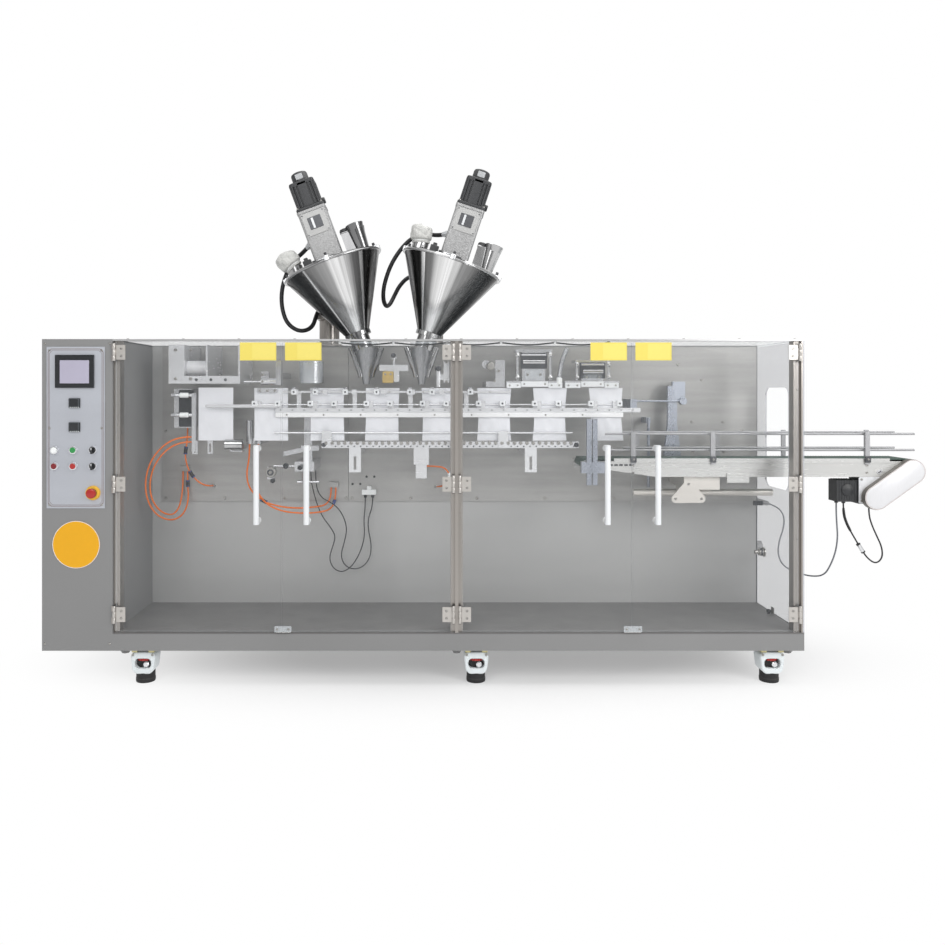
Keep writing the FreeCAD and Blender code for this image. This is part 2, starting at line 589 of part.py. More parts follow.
def posts():
    """Stainless posts with the fixed hinge halves, the top rail and the clear covers."""
    height = rail_bottom - floor_top
    set_back = front + s.post_setback
    solids = [box(chamber_left, set_back, floor_top, s.left_post_width, s.post_depth, height)]
    solids += knuckles(left + s.pin_1, -1)
    strip_left = left + s.pin_2 + s.strip_gap
    strip_right = left + s.pin_3 - s.strip_gap
    centre = [box(left + s.centre_post_left, set_back, floor_top, s.centre_post_width,
                  s.post_depth, height),
              box(strip_left, front, floor_top, strip_right - strip_left,
                  s.post_setback, height)]
    centre += knuckles(left + s.pin_2, 1)
    centre += knuckles(left + s.pin_3, -1)
    solids.append(fused(centre))
    strip_left = left + s.pin_4 + s.strip_gap
    right = [box(panel_left_face - s.right_post_width, set_back, floor_top,
                 s.right_post_width, s.post_depth, height),
             box(strip_left, front, floor_top, panel_left_face - strip_left,
                 s.post_setback, height)]
    right += knuckles(left + s.pin_4, 1)
    solids.append(fused(right))
    node("door_posts", group(solids))
    node("top_rail", box(chamber_left, front, rail_bottom, chamber_width, s.rail_depth,
                         s.rail_height))


def covers():
    """The clear top cover with the spout holes and the clear side panel with its slot."""
    sheet = box(chamber_left, front + s.rail_depth, s.body_top - s.cover_sheet,
                chamber_width, s.work_depth - s.rail_depth, s.cover_sheet)
    holes = []
    for hopper_x, head_x in ((s.hopper_1_x, s.discharge_x_1), (s.hopper_2_x, s.discharge_x_2)):
        holes.append(rod(left + (hopper_x + head_x) / 2, hopper_y, rail_bottom,
                         s.cover_hole, s.rail_height))
    node("top_cover", less(sheet, holes))
    panel = box(panel_left_face, front, floor_top, s.cover_sheet, s.work_depth,
                rail_bottom - floor_top)
    slot_y = front + s.slot_front
    slot_width = s.slot_back - s.slot_front
    slot_height = s.slot_top - s.slot_bottom
    corner = s.slot_corner
    cutters = [box(panel_left_face, slot_y + corner, s.slot_bottom, s.cover_sheet,
                   slot_width - 2 * corner, slot_height),
               box(panel_left_face, slot_y, s.slot_bottom + corner, s.cover_sheet,
                   slot_width, slot_height - 2 * corner)]
    for y in (slot_y + corner, slot_y + slot_width - corner):
        for z in (s.slot_bottom + corner, s.slot_top - corner):
            cutters.append(rod(panel_left_face, y, z, corner, s.cover_sheet, "X"))
    node("side_panel", less(panel, cutters))


def door(number, pin, handle, near, far, reach):
    """One clear door: its sheet, hinge leaves with their knuckles, and the handle.
    Reach is 1 where the door lies to the right of its pin and -1 to the left."""
    pin_x = left + pin
    sheet_left = left + near
    node(f"door_{number}_panel", box(sheet_left, front, door_bottom, far - near,
                                     s.door_sheet, door_height))
    third = (s.leaf_height + 2 * s.knuckle_overhang) / 3
    leaf_start = pin_x + s.leaf_setoff if reach > 0 else pin_x - s.leaf_width
    tongue_start = pin_x if reach > 0 else pin_x - s.leaf_setoff
    solids = []
    for bottom in hinge_places:
        start = bottom - s.knuckle_overhang + third
        pieces = [rod(pin_x, pin_y, start, s.knuckle_radius, third),
                  box(tongue_start, front - s.leaf_sheet, start, s.leaf_setoff,
                      s.leaf_sheet, third),
                  box(leaf_start, front - s.leaf_sheet, bottom, s.leaf_width - s.leaf_setoff,
                      s.leaf_sheet, s.leaf_height)]
        bore = rod(pin_x, pin_y, start, s.pin_radius + s.pin_play, third)
        solids.append(less(fused(pieces), [bore]))
    tube_y = front - s.handle_reach + s.handle_radius
    handle_x = left + handle
    pieces = [rod(handle_x, tube_y, s.handle_bottom, s.handle_radius, s.handle_length)]
    for z in (s.handle_bottom, s.handle_bottom + s.handle_length - s.handle_foot):
        pieces.append(box(handle_x - s.handle_foot / 2, tube_y, z, s.handle_foot,
                          s.handle_reach - s.handle_radius, s.handle_foot))
    solids.append(fused(pieces))
    node(f"door_{number}_fittings", group(solids))


def doors():
    """Four clear doors, in pairs that meet between the posts."""
    clear = s.pin_setoff
    half = s.meeting_gap / 2
    door(1, s.pin_1, s.handle_1, s.pin_1 + clear, s.door_meet_left - half, 1)
    door(2, s.pin_2, s.handle_2, s.door_meet_left + half, s.pin_2 - clear, -1)
    door(3, s.pin_3, s.handle_3, s.pin_3 + clear, s.door_meet_right - half, 1)
    door(4, s.pin_4, s.handle_4, s.door_meet_right + half, s.pin_4 - clear, -1)


def control_panel():
    """The plate on the cabinet with the screen, dials, buttons, stop button and badge."""
    face = front - s.panel_sheet
    node("control_panel", box(left + s.panel_left, face, s.panel_bottom, s.panel_width,
                              s.panel_sheet, s.panel_height))
    node("touch_screen", box(left + s.screen_left, face - s.screen_depth, s.screen_bottom,
                             s.screen_width, s.screen_depth, s.screen_height))
    solids = []
    for z in (s.dial_low, s.dial_high):
        solids.append(box(left + s.dial_left, face - s.dial_depth, z, s.dial_width,
                          s.dial_depth, s.dial_height))
    columns = (s.button_x_1, s.button_x_2, s.button_x_3)
    for z in (s.button_low, s.button_high):
        for x in columns:
            ring = rod(left + x, face - s.button_depth, z, s.button_radius,
                       s.button_depth, "Y")
            if x is not columns[-1]:
                solids.append(ring)
                continue
            knob = box(left + x - s.knob_width / 2, face - s.button_depth - s.knob_depth,
                       z - s.button_radius, s.knob_width, s.knob_depth + s.button_depth / 2,
                       2 * s.button_radius)
            solids.append(fused([ring, knob]))
    stop_x = left + s.stop_x
    ring = rod(stop_x, face - s.stop_ring_depth, s.stop_z, s.stop_ring,
               s.stop_ring_depth, "Y")
    neck = rod(stop_x, face - s.stop_depth, s.stop_z, s.stop_neck, s.stop_depth, "Y")
    cap = rod(stop_x, face - s.stop_depth, s.stop_z, s.stop_cap,
              s.stop_depth - s.stop_gap, "Y")
    solids.append(fused([ring, neck, cap]))
    node("panel_controls", group(solids))
    node("round_badge", rod(left + s.badge_x, front - s.badge_sheet, s.badge_z,
                            s.badge_radius, s.badge_sheet, "Y"))


def casters():
    """Six levelling casters: plate and windowed housing, with pad, stem and adjuster."""
    housings = []
    feet = []
    window_z = s.caster_window_bottom
    plate_bottom = s.beam_bottom - s.caster_plate_sheet
    for x in caster_places:
        for y in caster_rows:
            plate = box(x - s.caster_plate / 2, y - s.caster_plate / 2, plate_bottom,
                        s.caster_plate, s.caster_plate, s.caster_plate_sheet)
            shell = box(x - s.caster_width / 2, y - s.caster_depth / 2, s.caster_bottom,
                        s.caster_width, s.caster_depth, plate_bottom - s.caster_bottom)
            window = box(x - s.caster_window / 2, y - s.caster_depth / 2, window_z,
                         s.caster_window, s.caster_depth, s.caster_window_height)
            bore = rod(x, y, s.caster_bottom, s.stem_radius,
                       window_z + s.caster_window_height + s.stem_socket - s.caster_bottom)
            housings.append(less(fused([plate, shell]), [window, bore]))
            stem_top = window_z + s.caster_window_height + s.stem_socket
            feet.append(fused([rod(x, y, 0, s.pad_radius, s.pad_height),
                               rod(x, y, 0, s.stem_radius, stem_top),
                               rod(x, y, s.adjuster_bottom, s.adjuster_radius,
                                   s.adjuster_height)]))
    node("caster_housings", group(housings))
    node("caster_feet", group(feet))


def hopper(number, x, tilt):
    """One powder hopper on its tilted axis. Gives back its lid, inlet bag and drive."""
    def stand(piece):
        return leaning(group([piece]), left + x, hopper_y, hopper_z, tilt)

    top = s.cone_height
    boss = box(-s.arm_width, 0, s.boss_bottom, 2 * s.arm_width, s.boss_reach, s.boss_height)
    outer = fused([cone(0, 0, 0, s.outlet_radius, s.cone_radius, top),
                   rod(0, 0, 0, s.clamp_radius, s.clamp_height),
                   rod(0, 0, top, s.rim_radius, s.rim_height), boss])
    bore = fused([cone(0, 0, 0, s.outlet_radius - s.cone_sheet, s.cone_radius - s.cone_sheet,
                       top),
                  rod(0, 0, top, s.cone_radius - s.cone_sheet, s.rim_height)])
    node(f"hopper_{number}", stand(less(outer, [bore])))
    lid_z = top + s.rim_height
    lid_top = lid_z + s.lid_height
    lid = [rod(0, 0, lid_z, s.lid_radius, s.lid_height),
           rod(s.inlet_x, 0, lid_top, s.inlet_radius, s.inlet_height),
           box(s.sensor_x - s.sensor_width / 2, -s.sensor_width, lid_top, s.sensor_width,
               s.sensor_width, s.sensor_height)]
    for y in (-s.vent_spread, s.vent_spread):
        lid.append(cone(s.vent_x, y, lid_top, s.vent_radius, s.vent_top_radius,
                        s.vent_height))
    bag = rod(s.inlet_x, 0, lid_top + s.inlet_height + s.bag_gap, s.bag_radius, s.bag_height)
    gearbox_top = lid_top + s.gearbox_height
    motor_top = gearbox_top + s.motor_height
    drive = [rod(0, 0, lid_top, s.gearbox_foot, s.foot_height),
             box(-s.gearbox_width / 2, -s.gearbox_depth / 2, lid_top, s.gearbox_width,
                 s.gearbox_depth, s.gearbox_height),
             box(-s.motor_width / 2, -s.motor_width / 2, gearbox_top, s.motor_width,
                 s.motor_width, s.motor_height),
             box(-s.encoder_width / 2, -s.encoder_width / 2, motor_top, s.encoder_width,
                 s.encoder_width, s.encoder_height)]
    route = CORDS[f"hopper_hose_{number}"][1]
    whole_drive = fused([stand(fused(drive)), gland(route, s.hose_gland, s.hose_gland_length)])
    return stand(fused(lid)), stand(bag), whole_drive


def hoppers():
    """Both hoppers, with their lids, bags and drives as pairs."""
    first = hopper(1, s.hopper_1_x, s.hopper_tilt_1)
    second = hopper(2, s.hopper_2_x, s.hopper_tilt_2)
    for label, pair in zip(("hopper_lids", "inlet_bags", "hopper_drives"), zip(first, second)):
        node(label, group(list(pair)))


def hopper_columns():
    """Two tube columns on the rear housing, each with an arm to its hopper's boss."""
    solids = []
    arm_y = hopper_y + s.boss_reach
    column_y = front + s.column_depth
    reaches = ((s.column_1_x, s.hopper_1_x, s.hopper_tilt_1, s.column_gland_1),
               (s.column_2_x, s.hopper_2_x, s.hopper_tilt_2, s.column_gland_2))
    for number, (column_x, hopper_x, tilt, gland_length) in enumerate(reaches, start=1):
        x = left + column_x
        boss_x = left + hopper_x + (s.boss_bottom + s.boss_height / 2) * sine(tilt)
        plate = box(x - s.foot_plate_width / 2, column_y - s.foot_plate_width / 2,
                    s.body_top, s.foot_plate_width, s.foot_plate_width, s.foot_plate)
        tube = rod(x, column_y, s.body_top, s.column_radius, s.column_height)
        arm = box(x - s.column_radius, arm_y, s.body_top + s.arm_rise,
                  boss_x - x + s.column_radius + s.arm_width, column_y - arm_y, s.arm_height)
        route = CORDS[f"hopper_hose_{number}"][1]
        fitting = gland(route[::-1], s.hose_gland, gland_length)
        solids.append(fused([plate, tube, arm, fitting]))
    node("hopper_columns", group(solids))


def discharge_heads():
    """Under each hopper a tilted spout that runs into a funnel between two slanted tubes."""
    solids = []
    places = ((s.hopper_1_x, s.hopper_tilt_1, s.discharge_x_1),
              (s.hopper_2_x, s.hopper_tilt_2, s.discharge_x_2))
    for hopper_x, tilt, head_x in places:
        spout = leaning(group([rod(0, 0, -s.spout_length, s.outlet_radius, s.spout_length)]),
                        left + hopper_x, hopper_y, hopper_z, tilt)
        x = left + head_x
        pieces = [spout, cone(x, hopper_y, s.discharge_bottom, s.discharge_tip,
                              s.discharge_radius, discharge_top - s.discharge_bottom)]
        pieces.append(box(x - s.side_tube_spread, hopper_y - s.side_tube_radius,
                          discharge_top - s.arm_tall, 2 * s.side_tube_spread,
                          2 * s.side_tube_radius, s.arm_tall))
        for way in (-1, 1):
            pieces.append(strut(x + way * s.side_tube_foot, s.side_tube_bottom,
                                x + way * s.side_tube_spread, discharge_top,
                                hopper_y, s.side_tube_radius))
        solids.append(fused(pieces))
    node("discharge_heads", group(solids))


def film_unwind():
    """Side plates, slotted shelf and film roll at the upper left of the chamber."""
    bottom = s.film_bottom
    height = s.body_top - s.film_drop - bottom
    shelf = box(left + s.film_shelf_left, line_front, bottom, s.film_right - s.film_shelf_left,
                s.film_sheet, s.film_shelf_height)
    pieces = [shelf,
              box(left + s.film_left, line_front, bottom, s.film_plate_width, s.film_sheet,
                  height)]
    for x in (s.film_plate_1, s.film_plate_2):
        pieces.append(box(left + x, line_front, bottom, s.film_sheet,
                          wall_face - line_front, height))
    pieces.append(box(left + s.film_left + s.film_plate_width - s.film_sheet, line_front,
                      bottom, s.film_sheet, wall_face - line_front, height))
    pieces.append(rod(left + s.film_left + s.film_plate_width, line_front + s.roll_depth,
                      s.roll_z, s.roll_radius,
                      s.film_plate_1 - s.film_left - s.film_plate_width, "X"))
    node("film_unwind", fused(pieces))


def pouch_former():
    """Upright with two rods, plate, two slotted fingers, hanging film and the bent chute."""
    arm_y = line_front + s.former_depth
    reach = wall_face - arm_y
    pieces = [box(left + s.former_left, arm_y, s.former_bottom, s.former_width,
                  s.former_sheet, s.former_height),
              box(left + s.former_left + s.former_width, arm_y, s.former_bottom,
                  s.former_body, reach, s.former_height)]
    plate_x = left + s.former_plate_left
    pieces.append(box(plate_x, line_front, s.former_plate_bottom, s.former_plate_width,
                      s.arm_width, s.former_plate_height))
    for z in (s.former_rod_low, s.former_rod_high):
        pieces.append(rod(left + s.former_left, line_front + s.arm_width / 2, z,
                          s.guide_rod_radius * 2, s.former_plate_left - s.former_left, "X"))
        pieces.append(box(left + s.former_left, line_front, z - s.guide_rod_radius,
                          s.former_width, s.former_depth, 2 * s.guide_rod_radius))
    pieces.append(finger(left + s.finger_1, line_front))
    rear_y = line_front + s.arm_width + s.pouch_sheet
    x = left + s.finger_2
    arm_z = s.finger_bottom + s.finger_height - s.finger_margin
    arm = box(x, rear_y, arm_z, s.finger_width, wall_face - rear_y, s.finger_margin)
    node("pouch_former", group([fused(pieces), fused([finger(x, rear_y), arm]), chute()]))
    sheet = box(left + s.web_left, line_front + s.arm_width, s.pouch_bottom, s.web_width,
                s.pouch_sheet, s.web_height)
    hook = box(plate_x, line_front + s.arm_width, s.pouch_bottom,
               s.web_left - s.former_plate_left, s.pouch_sheet, s.web_height)
    return fused([sheet, hook])


def finger(x, y):
    """An upright tongue with a long slot that guides the film's lower edge."""
    tongue = box(x, y, s.finger_bottom, s.finger_width, s.film_sheet, s.finger_height)
    slot = box(x + s.finger_width / 2 - s.finger_slot / 2, y, s.finger_bottom + s.finger_margin,
               s.finger_slot, s.film_sheet, s.finger_slot_height)
    return less(tongue, [slot])


def chute():
    """The bent tray at the foot of the hanging film, on its arm from the wall."""
    x = left + s.chute_left
    bottom = s.chute_bottom
    sheet = s.chute_sheet
    half = s.chute_height / 2
    tray_y = line_front + 2 * s.arm_width
    tray = prism([(x, bottom + s.chute_height), (x, bottom + half), (x + half, bottom),
                  (x + s.chute_width, bottom), (x + s.chute_width, bottom + sheet),
                  (x + half + sheet / 2, bottom + sheet), (x + sheet, bottom + half),
                  (x + sheet, bottom + s.chute_height)], tray_y, s.chute_depth)
    arm = box(x + half, tray_y, bottom, s.arm_width, wall_face - tray_y, sheet)
    return fused([tray, arm])


def pouch_line(web):
    """Main bar, hole bar and upper bar on arms from the wall, with clamps, pouches and web."""
    arm_reach = wall_face - line_front
    main_width = s.main_bar_right - s.main_bar_left
    hole_bottom = s.main_bar_bottom + s.main_bar_height
    hole_top = hole_bottom + s.hole_bar_height
    upper_top = s.upper_bar_bottom + s.upper_bar_height
    pieces = [box(left + s.main_bar_left, line_front, s.main_bar_bottom, main_width,
                  s.bar_depth, s.main_bar_height),
              box(left + s.main_bar_left, line_front, hole_bottom,
                  s.hole_bar_right - s.main_bar_left, s.bar_depth, s.hole_bar_height),
              box(left + s.upper_bar_left, line_front, s.upper_bar_bottom,
                  s.upper_bar_right - s.upper_bar_left, s.bar_depth, s.upper_bar_height)]
    space = s.pouch_pitch - s.pouch_width
    for index in range(POUCHES - 1):
        x = left + s.pouch_first + s.pouch_width + index * s.pouch_pitch + space / 2
        pieces.append(box(x - s.arm_width / 2, line_front, hole_top - s.arm_tall,
                          s.arm_width, arm_reach, s.arm_tall))
        if index < UPPER_TIES:
            pieces.append(box(x - s.arm_width / 2, line_front + s.bar_depth, hole_bottom,
                              s.arm_width, s.bar_depth, upper_top - hole_bottom))
    node("pouch_rail", fused(pieces))

    grip_y = line_front + s.bar_depth - s.grip_depth
    rod_z = hole_top + s.grip_height / 2
    first_x = left + s.pouch_first + s.grip_inset
    last_x = first_x + (POUCHES - 1) * s.pouch_pitch + s.grip_pair
    carriers = [rod(first_x, grip_y + s.grip_depth / 2, rod_z, s.thin_rod_radius,
                    last_x - first_x, "X")]
    bags = []
    for index in range(POUCHES):
        pouch_x = left + s.pouch_first + index * s.pouch_pitch
        for offset in (s.grip_inset, s.grip_inset + s.grip_pair):
            carriers.append(box(pouch_x + offset - s.grip_width / 2, grip_y, hole_top,
                                s.grip_width, s.grip_depth, s.grip_height))
        bags.append(box(pouch_x, line_front + s.bar_depth + s.pouch_gap, s.pouch_bottom,
                        s.pouch_width, s.pouch_sheet, s.pouch_top - s.pouch_bottom))
    clamps = []
    for index in range(UPPER_CLAMPS):
        x = left + s.upper_bar_left + s.clamp_inset + index * s.clamp_pitch
        clamps.append(box(x, line_front - s.grip_depth, s.upper_bar_bottom - s.clamp_drop,
                          s.grip_width, s.grip_depth, s.grip_width))
    node("pouch_clamps", group([fused(carriers)] + clamps))
    node("pouches", group(bags + [web]))


def roller_rail():
    """Roller rail under the pouches with the guide rod before them, and its supports."""
    top = s.roller_rail_bottom + s.roller_rail_height
    pieces = [box(left + s.roller_rail_left, line_front, s.roller_rail_bottom,
                  s.roller_rail_right - s.roller_rail_left, s.roller_rail_depth,
                  s.roller_rail_height)]
    rod_y = line_front + s.guide_rod_radius / 2
    pieces.append(rod(left + s.guide_rod_left, rod_y, s.guide_rod_z, s.guide_rod_radius,
                      s.guide_rod_right - s.guide_rod_left, "X"))
    for x in (s.holder_1, s.holder_2):
        pieces.append(box(left + x, line_front - s.holder_sheet, s.roller_rail_bottom,
                          s.holder_width, s.holder_sheet,
                          s.guide_rod_z + 2 * s.guide_rod_radius - s.roller_rail_bottom))
    node("roller_rail", fused(pieces))

    supports = []
    for x in (s.support_1, s.support_2):
        plate = box(left + x, line_front, s.roller_rail_bottom - s.support_height,
                    s.support_width, s.holder_sheet, s.support_height)
        slot = box(left + x + s.support_width / 2 - s.support_slot / 2, line_front,
                   s.roller_rail_bottom - s.support_height + s.support_slot,
                   s.support_slot, s.holder_sheet, s.support_slot_height)
        arm = box(left + x, line_front, s.roller_rail_bottom - s.support_shelf,
                  s.support_width, wall_face - line_front, s.support_shelf)
        supports.append(fused([less(plate, [slot]), arm]))
    block_bottom = s.roller_rail_bottom - s.mid_block_height
    inset = (s.mid_block_width - s.mid_bracket_width) / 2
    supports.append(fused([
        box(left + s.mid_block_left, line_front, block_bottom, s.mid_block_width,
            s.mid_block_depth, s.mid_block_height),
        box(left + s.mid_block_left + inset, line_front + s.holder_sheet,
            block_bottom - s.mid_bracket_height, s.mid_bracket_width,
            wall_face - line_front - s.holder_sheet, s.mid_bracket_height)]))
    node("rail_supports", group(supports))


def air_stations():
    """Air cylinders and small blocks at the opening station, on arms from the wall."""
    reach = wall_face - line_front
    lower_z = s.lower_post_bottom
    upper = [rod(left + s.opener_left, line_front + s.opener_depth, s.opener_z,
                 s.opener_radius, s.opener_plate_left - s.opener_left, "X"),
             rod(left + s.opener_rod_left, line_front + s.opener_depth, s.opener_z,
                 s.guide_rod_radius, s.opener_left - s.opener_rod_left, "X"),
             box(left + s.opener_left, line_front + s.opener_depth - s.opener_radius / 2,
                 s.opener_z, s.clevis_width, s.opener_radius, s.clevis_height),
             box(left + s.opener_plate_left, line_front, s.opener_z - s.opener_radius,
                 s.opener_plate_width, s.opener_depth, s.opener_plate_height),
             box(left + s.opener_plate_left, line_front + s.opener_depth - s.opener_radius,
                 s.opener_z + s.opener_radius, s.opener_plate_width,
                 reach - s.opener_depth + s.opener_radius, s.arm_tall)]
    cup_y = line_front + s.cup_depth
    cup = less(rod(left + s.cup_x, cup_y, s.cup_bottom, s.cup_radius, s.cup_height),
               [rod(left + s.cup_x, cup_y, s.cup_bottom + s.cup_wall,
                    s.cup_radius - s.cup_wall, s.cup_height - s.cup_wall)])
    cup_arm = box(left + s.cup_x - s.arm_width / 2, cup_y + s.cup_radius - s.cup_wall,
                  s.cup_bottom, s.arm_width, wall_face - cup_y - s.cup_radius + s.cup_wall,
                  s.arm_tall)
    lower = [box(left + s.lower_post_left, line_front + s.lower_depth, lower_z,
                 s.lower_post_width, s.arm_width, s.lower_post_height),
             box(left + s.lower_block_left, line_front + s.lower_depth - s.arm_width,
                 lower_z, s.lower_block_width, reach - s.lower_depth + s.arm_width,
                 s.lower_block_height),
             rod(left + s.lower_block_left - s.lower_rod_reach, line_front + s.lower_depth,
                 lower_z + s.lower_block_height / 2, s.lower_rod_radius,
                 s.lower_block_width + s.lower_rod_reach, "X"),
             rod(left + s.lower_block_left + s.lower_block_width / 2,
                 line_front + s.lower_depth, lower_z - s.lower_rod_reach / 2,
                 s.lower_ball_radius, s.lower_rod_reach / 2 + s.lower_block_height)]
    post_x = left + s.lower_post_left
    post_y = line_front + s.lower_depth
    lower.append(box(left + s.shelf_left, post_y - s.arm_width / 2, s.shelf_bottom,
                     s.shelf_width, s.arm_width, s.shelf_height))
    lower.append(rod(left + s.cross_rod_left, post_y, lower_z - s.lower_rod_reach / 2,
                     s.lower_rod_radius, s.cross_rod_length, "X"))
    lower.append(box(left + s.grey_block_left, post_y - s.arm_width / 2, s.grey_block_bottom,
                     s.grey_block_width, s.arm_width, s.grey_block_height))
    tip_x = left + s.angled_left
    lower.append(prism([(tip_x, s.angled_bottom), (post_x + s.lower_rod_radius,
                                                   s.angled_bottom + s.angled_height),
                        (post_x + s.lower_rod_radius, s.angled_bottom + 2 * s.angled_height),
                        (tip_x, s.angled_bottom + s.angled_height)], post_y, s.film_sheet))
    actuators = []
    for x in (s.actuator_1, s.actuator_2):
        actuators.append(rod(left + x, line_front + s.actuator_depth, s.actuator_bottom,
                             s.actuator_radius, s.actuator_height))
    actuators.append(box(left + s.actuator_1 - s.actuator_radius,
                         line_front + s.actuator_depth, s.actuator_bottom,
                         s.actuator_2 - s.actuator_1 + 2 * s.actuator_radius,
                         reach - s.actuator_depth, s.arm_tall))
    node("opening_station", group([fused(upper), fused([cup, cup_arm])]))
    node("lower_station", group([fused(lower), fused(actuators)]))


def filling_bridge():
    """The bar between the two discharge heads with its knob, block and wall arm."""
    y = hopper_y
    bar_left = left + s.bridge_left
    middle = bar_left + s.bridge_width / 2
    pieces = [box(bar_left, y - s.arm_width / 2, s.bridge_bottom, s.bridge_width,
                  s.arm_width, s.bridge_height),
              rod(middle, y, s.bridge_bottom, s.knob_stem, s.bridge_knob_height),
              rod(middle, y, s.bridge_bottom + s.bridge_knob_height - s.bridge_height / 2,
                  s.knob_stem * 2, s.bridge_height / 2),
              box(middle - s.bridge_block / 2, y - s.bridge_block / 2,
                  s.bridge_bottom - s.bridge_block, s.bridge_block, s.bridge_block,
                  s.bridge_block),
              box(middle - s.arm_width / 2, y, s.bridge_bottom, s.arm_width,
                  wall_face - y, s.arm_tall)]
    unit_y = line_front + s.opener_depth
    valve_x = left + s.valve_x
    plate_x = left + s.valve_plate_left
    arm_z = s.valve_bottom + s.valve_height / 3
    valve = [rod(valve_x, unit_y, s.valve_bottom, s.valve_radius, s.valve_height),
             box(plate_x, unit_y, arm_z - s.arm_tall / 2, s.valve_plate_width, s.film_sheet,
                 s.valve_height),
             box(valve_x, unit_y, arm_z, plate_x - valve_x + s.valve_plate_width,
                 s.arm_width, s.arm_tall),
             box(valve_x, unit_y, arm_z, s.arm_width, wall_face - unit_y, s.arm_tall)]
    node("filling_bridge", group([fused(pieces), fused(valve)]))


def sealing_heads():
    """The small wheel unit and two sealing heads with their jaws over the pouch tops."""
    solids = []
    reach = wall_face - line_front
    unit_x = left + s.wheel_unit_left
    solids.append(fused([
        box(unit_x, line_front + s.head_setback, s.wheel_unit_bottom, s.wheel_unit_width,
            reach - s.head_setback, s.arm_tall),
        box(unit_x + s.wheel_unit_width / 2, line_front + s.head_setback,
            s.wheel_unit_bottom, s.wheel_unit_width / 2, s.arm_width, s.wheel_unit_height),
        rod(unit_x, line_front + s.head_setback, s.wheel_unit_bottom + s.wheel_unit_height
            - s.small_wheel, s.small_wheel, s.arm_width, "Y"),
        box(unit_x, line_front + s.head_setback, s.wheel_unit_bottom
            + s.wheel_unit_height - 2 * s.small_wheel, s.wheel_unit_width, s.arm_width / 2,
            s.small_wheel)]))
    heads = ((s.head_1_left, s.head_1_width, s.head_1_top),
             (s.head_2_left, s.head_2_width, s.head_2_top))
    jaws = ((s.jaws_1_left, s.jaws_1_width), (s.jaws_2_left, s.jaws_2_width))
    for (head_left, width, top), (jaw_left, jaw_width) in zip(heads, jaws):
        body_bottom = s.jaw_bottom + s.jaw_height
        solids.append(fused([
            box(left + jaw_left, line_front, s.jaw_bottom, jaw_width, s.jaw_depth,
                s.jaw_height),
            box(left + head_left, line_front + s.arm_width / 2, body_bottom, width,
                s.head_depth, top - body_bottom),
            box(left + head_left - s.head_lip, line_front + s.arm_width / 2,
                top - s.head_cap, width + 2 * s.head_lip, s.head_depth, s.head_cap),
            box(left + head_left + width / 2 - s.arm_width, line_front + s.arm_width / 2,
                top - s.head_cap - s.arm_tall, 2 * s.arm_width,
                reach - s.arm_width / 2, s.arm_tall)]))
    node("sealing_heads", group(solids))


def linkage():
    """Rocking lever with its push rod, twin upright bars and the thin vertical rod."""
    y = line_front + s.link_depth
    lever_x = left + s.lever_x
    head_z = s.lever_foot + s.lever_height
    rod_y = y - s.ring_depth / 2
    rail_back = line_front + s.bar_depth
    lever = [wedge(lever_x, y, s.lever_foot, s.lever_foot_width, s.lever_waist_width,
                   s.lever_sheet, s.lever_height),
             box(lever_x - s.lever_head_width / 2, y, head_z, s.lever_head_width,
                 s.lever_sheet, s.lever_head_height),
             box(lever_x, y, s.push_rod_z, s.lever_block, s.lever_sheet,
                 head_z + s.lever_head_height + s.arm_width - s.push_rod_z),
             rod(lever_x + s.ring_offset, y - s.ring_depth, s.push_rod_z, s.ring_radius,
                 s.ring_depth + s.lever_sheet / 2, "Y"),
             rod(left + s.push_rod_left, rod_y, s.push_rod_z, s.guide_rod_radius,
                 s.lever_x - s.push_rod_left + s.ring_offset, "X"),
             box(left + s.push_rod_left, rail_back, s.push_rod_z + s.arm_width / 2
                 - s.push_block_height, s.push_block_width, rod_y + s.arm_width / 2 - rail_back,
                 s.push_block_height),
             box(lever_x - s.arm_width, y, s.lever_foot, 2 * s.arm_width, wall_face - y,
                 s.arm_tall)]
    bars_y = front + s.bars_depth
    frame_face = front + s.conveyor_front
    bars = [box(left + s.bars_clamp_left, bars_y, s.bars_clamp_z, s.bars_clamp_width,
                frame_face - bars_y, s.bars_clamp_height)]
    for x in (s.bar_1_x, s.bar_2_x):
        bars.append(box(left + x, bars_y, s.bars_bottom, s.bar_width, s.bar_width,
                        s.bars_height))
    thin = [rod(left + s.thin_link_x, y, s.thin_link_bottom, s.thin_link_radius,
                s.thin_link_height),
            box(left + s.thin_link_x - s.arm_width / 2, y,
                s.thin_link_bottom + s.thin_link_height - s.arm_tall, s.arm_width,
                wall_face - y, s.arm_tall)]
    node("lever_linkage", group([fused(lever), fused(bars), fused(thin)]))


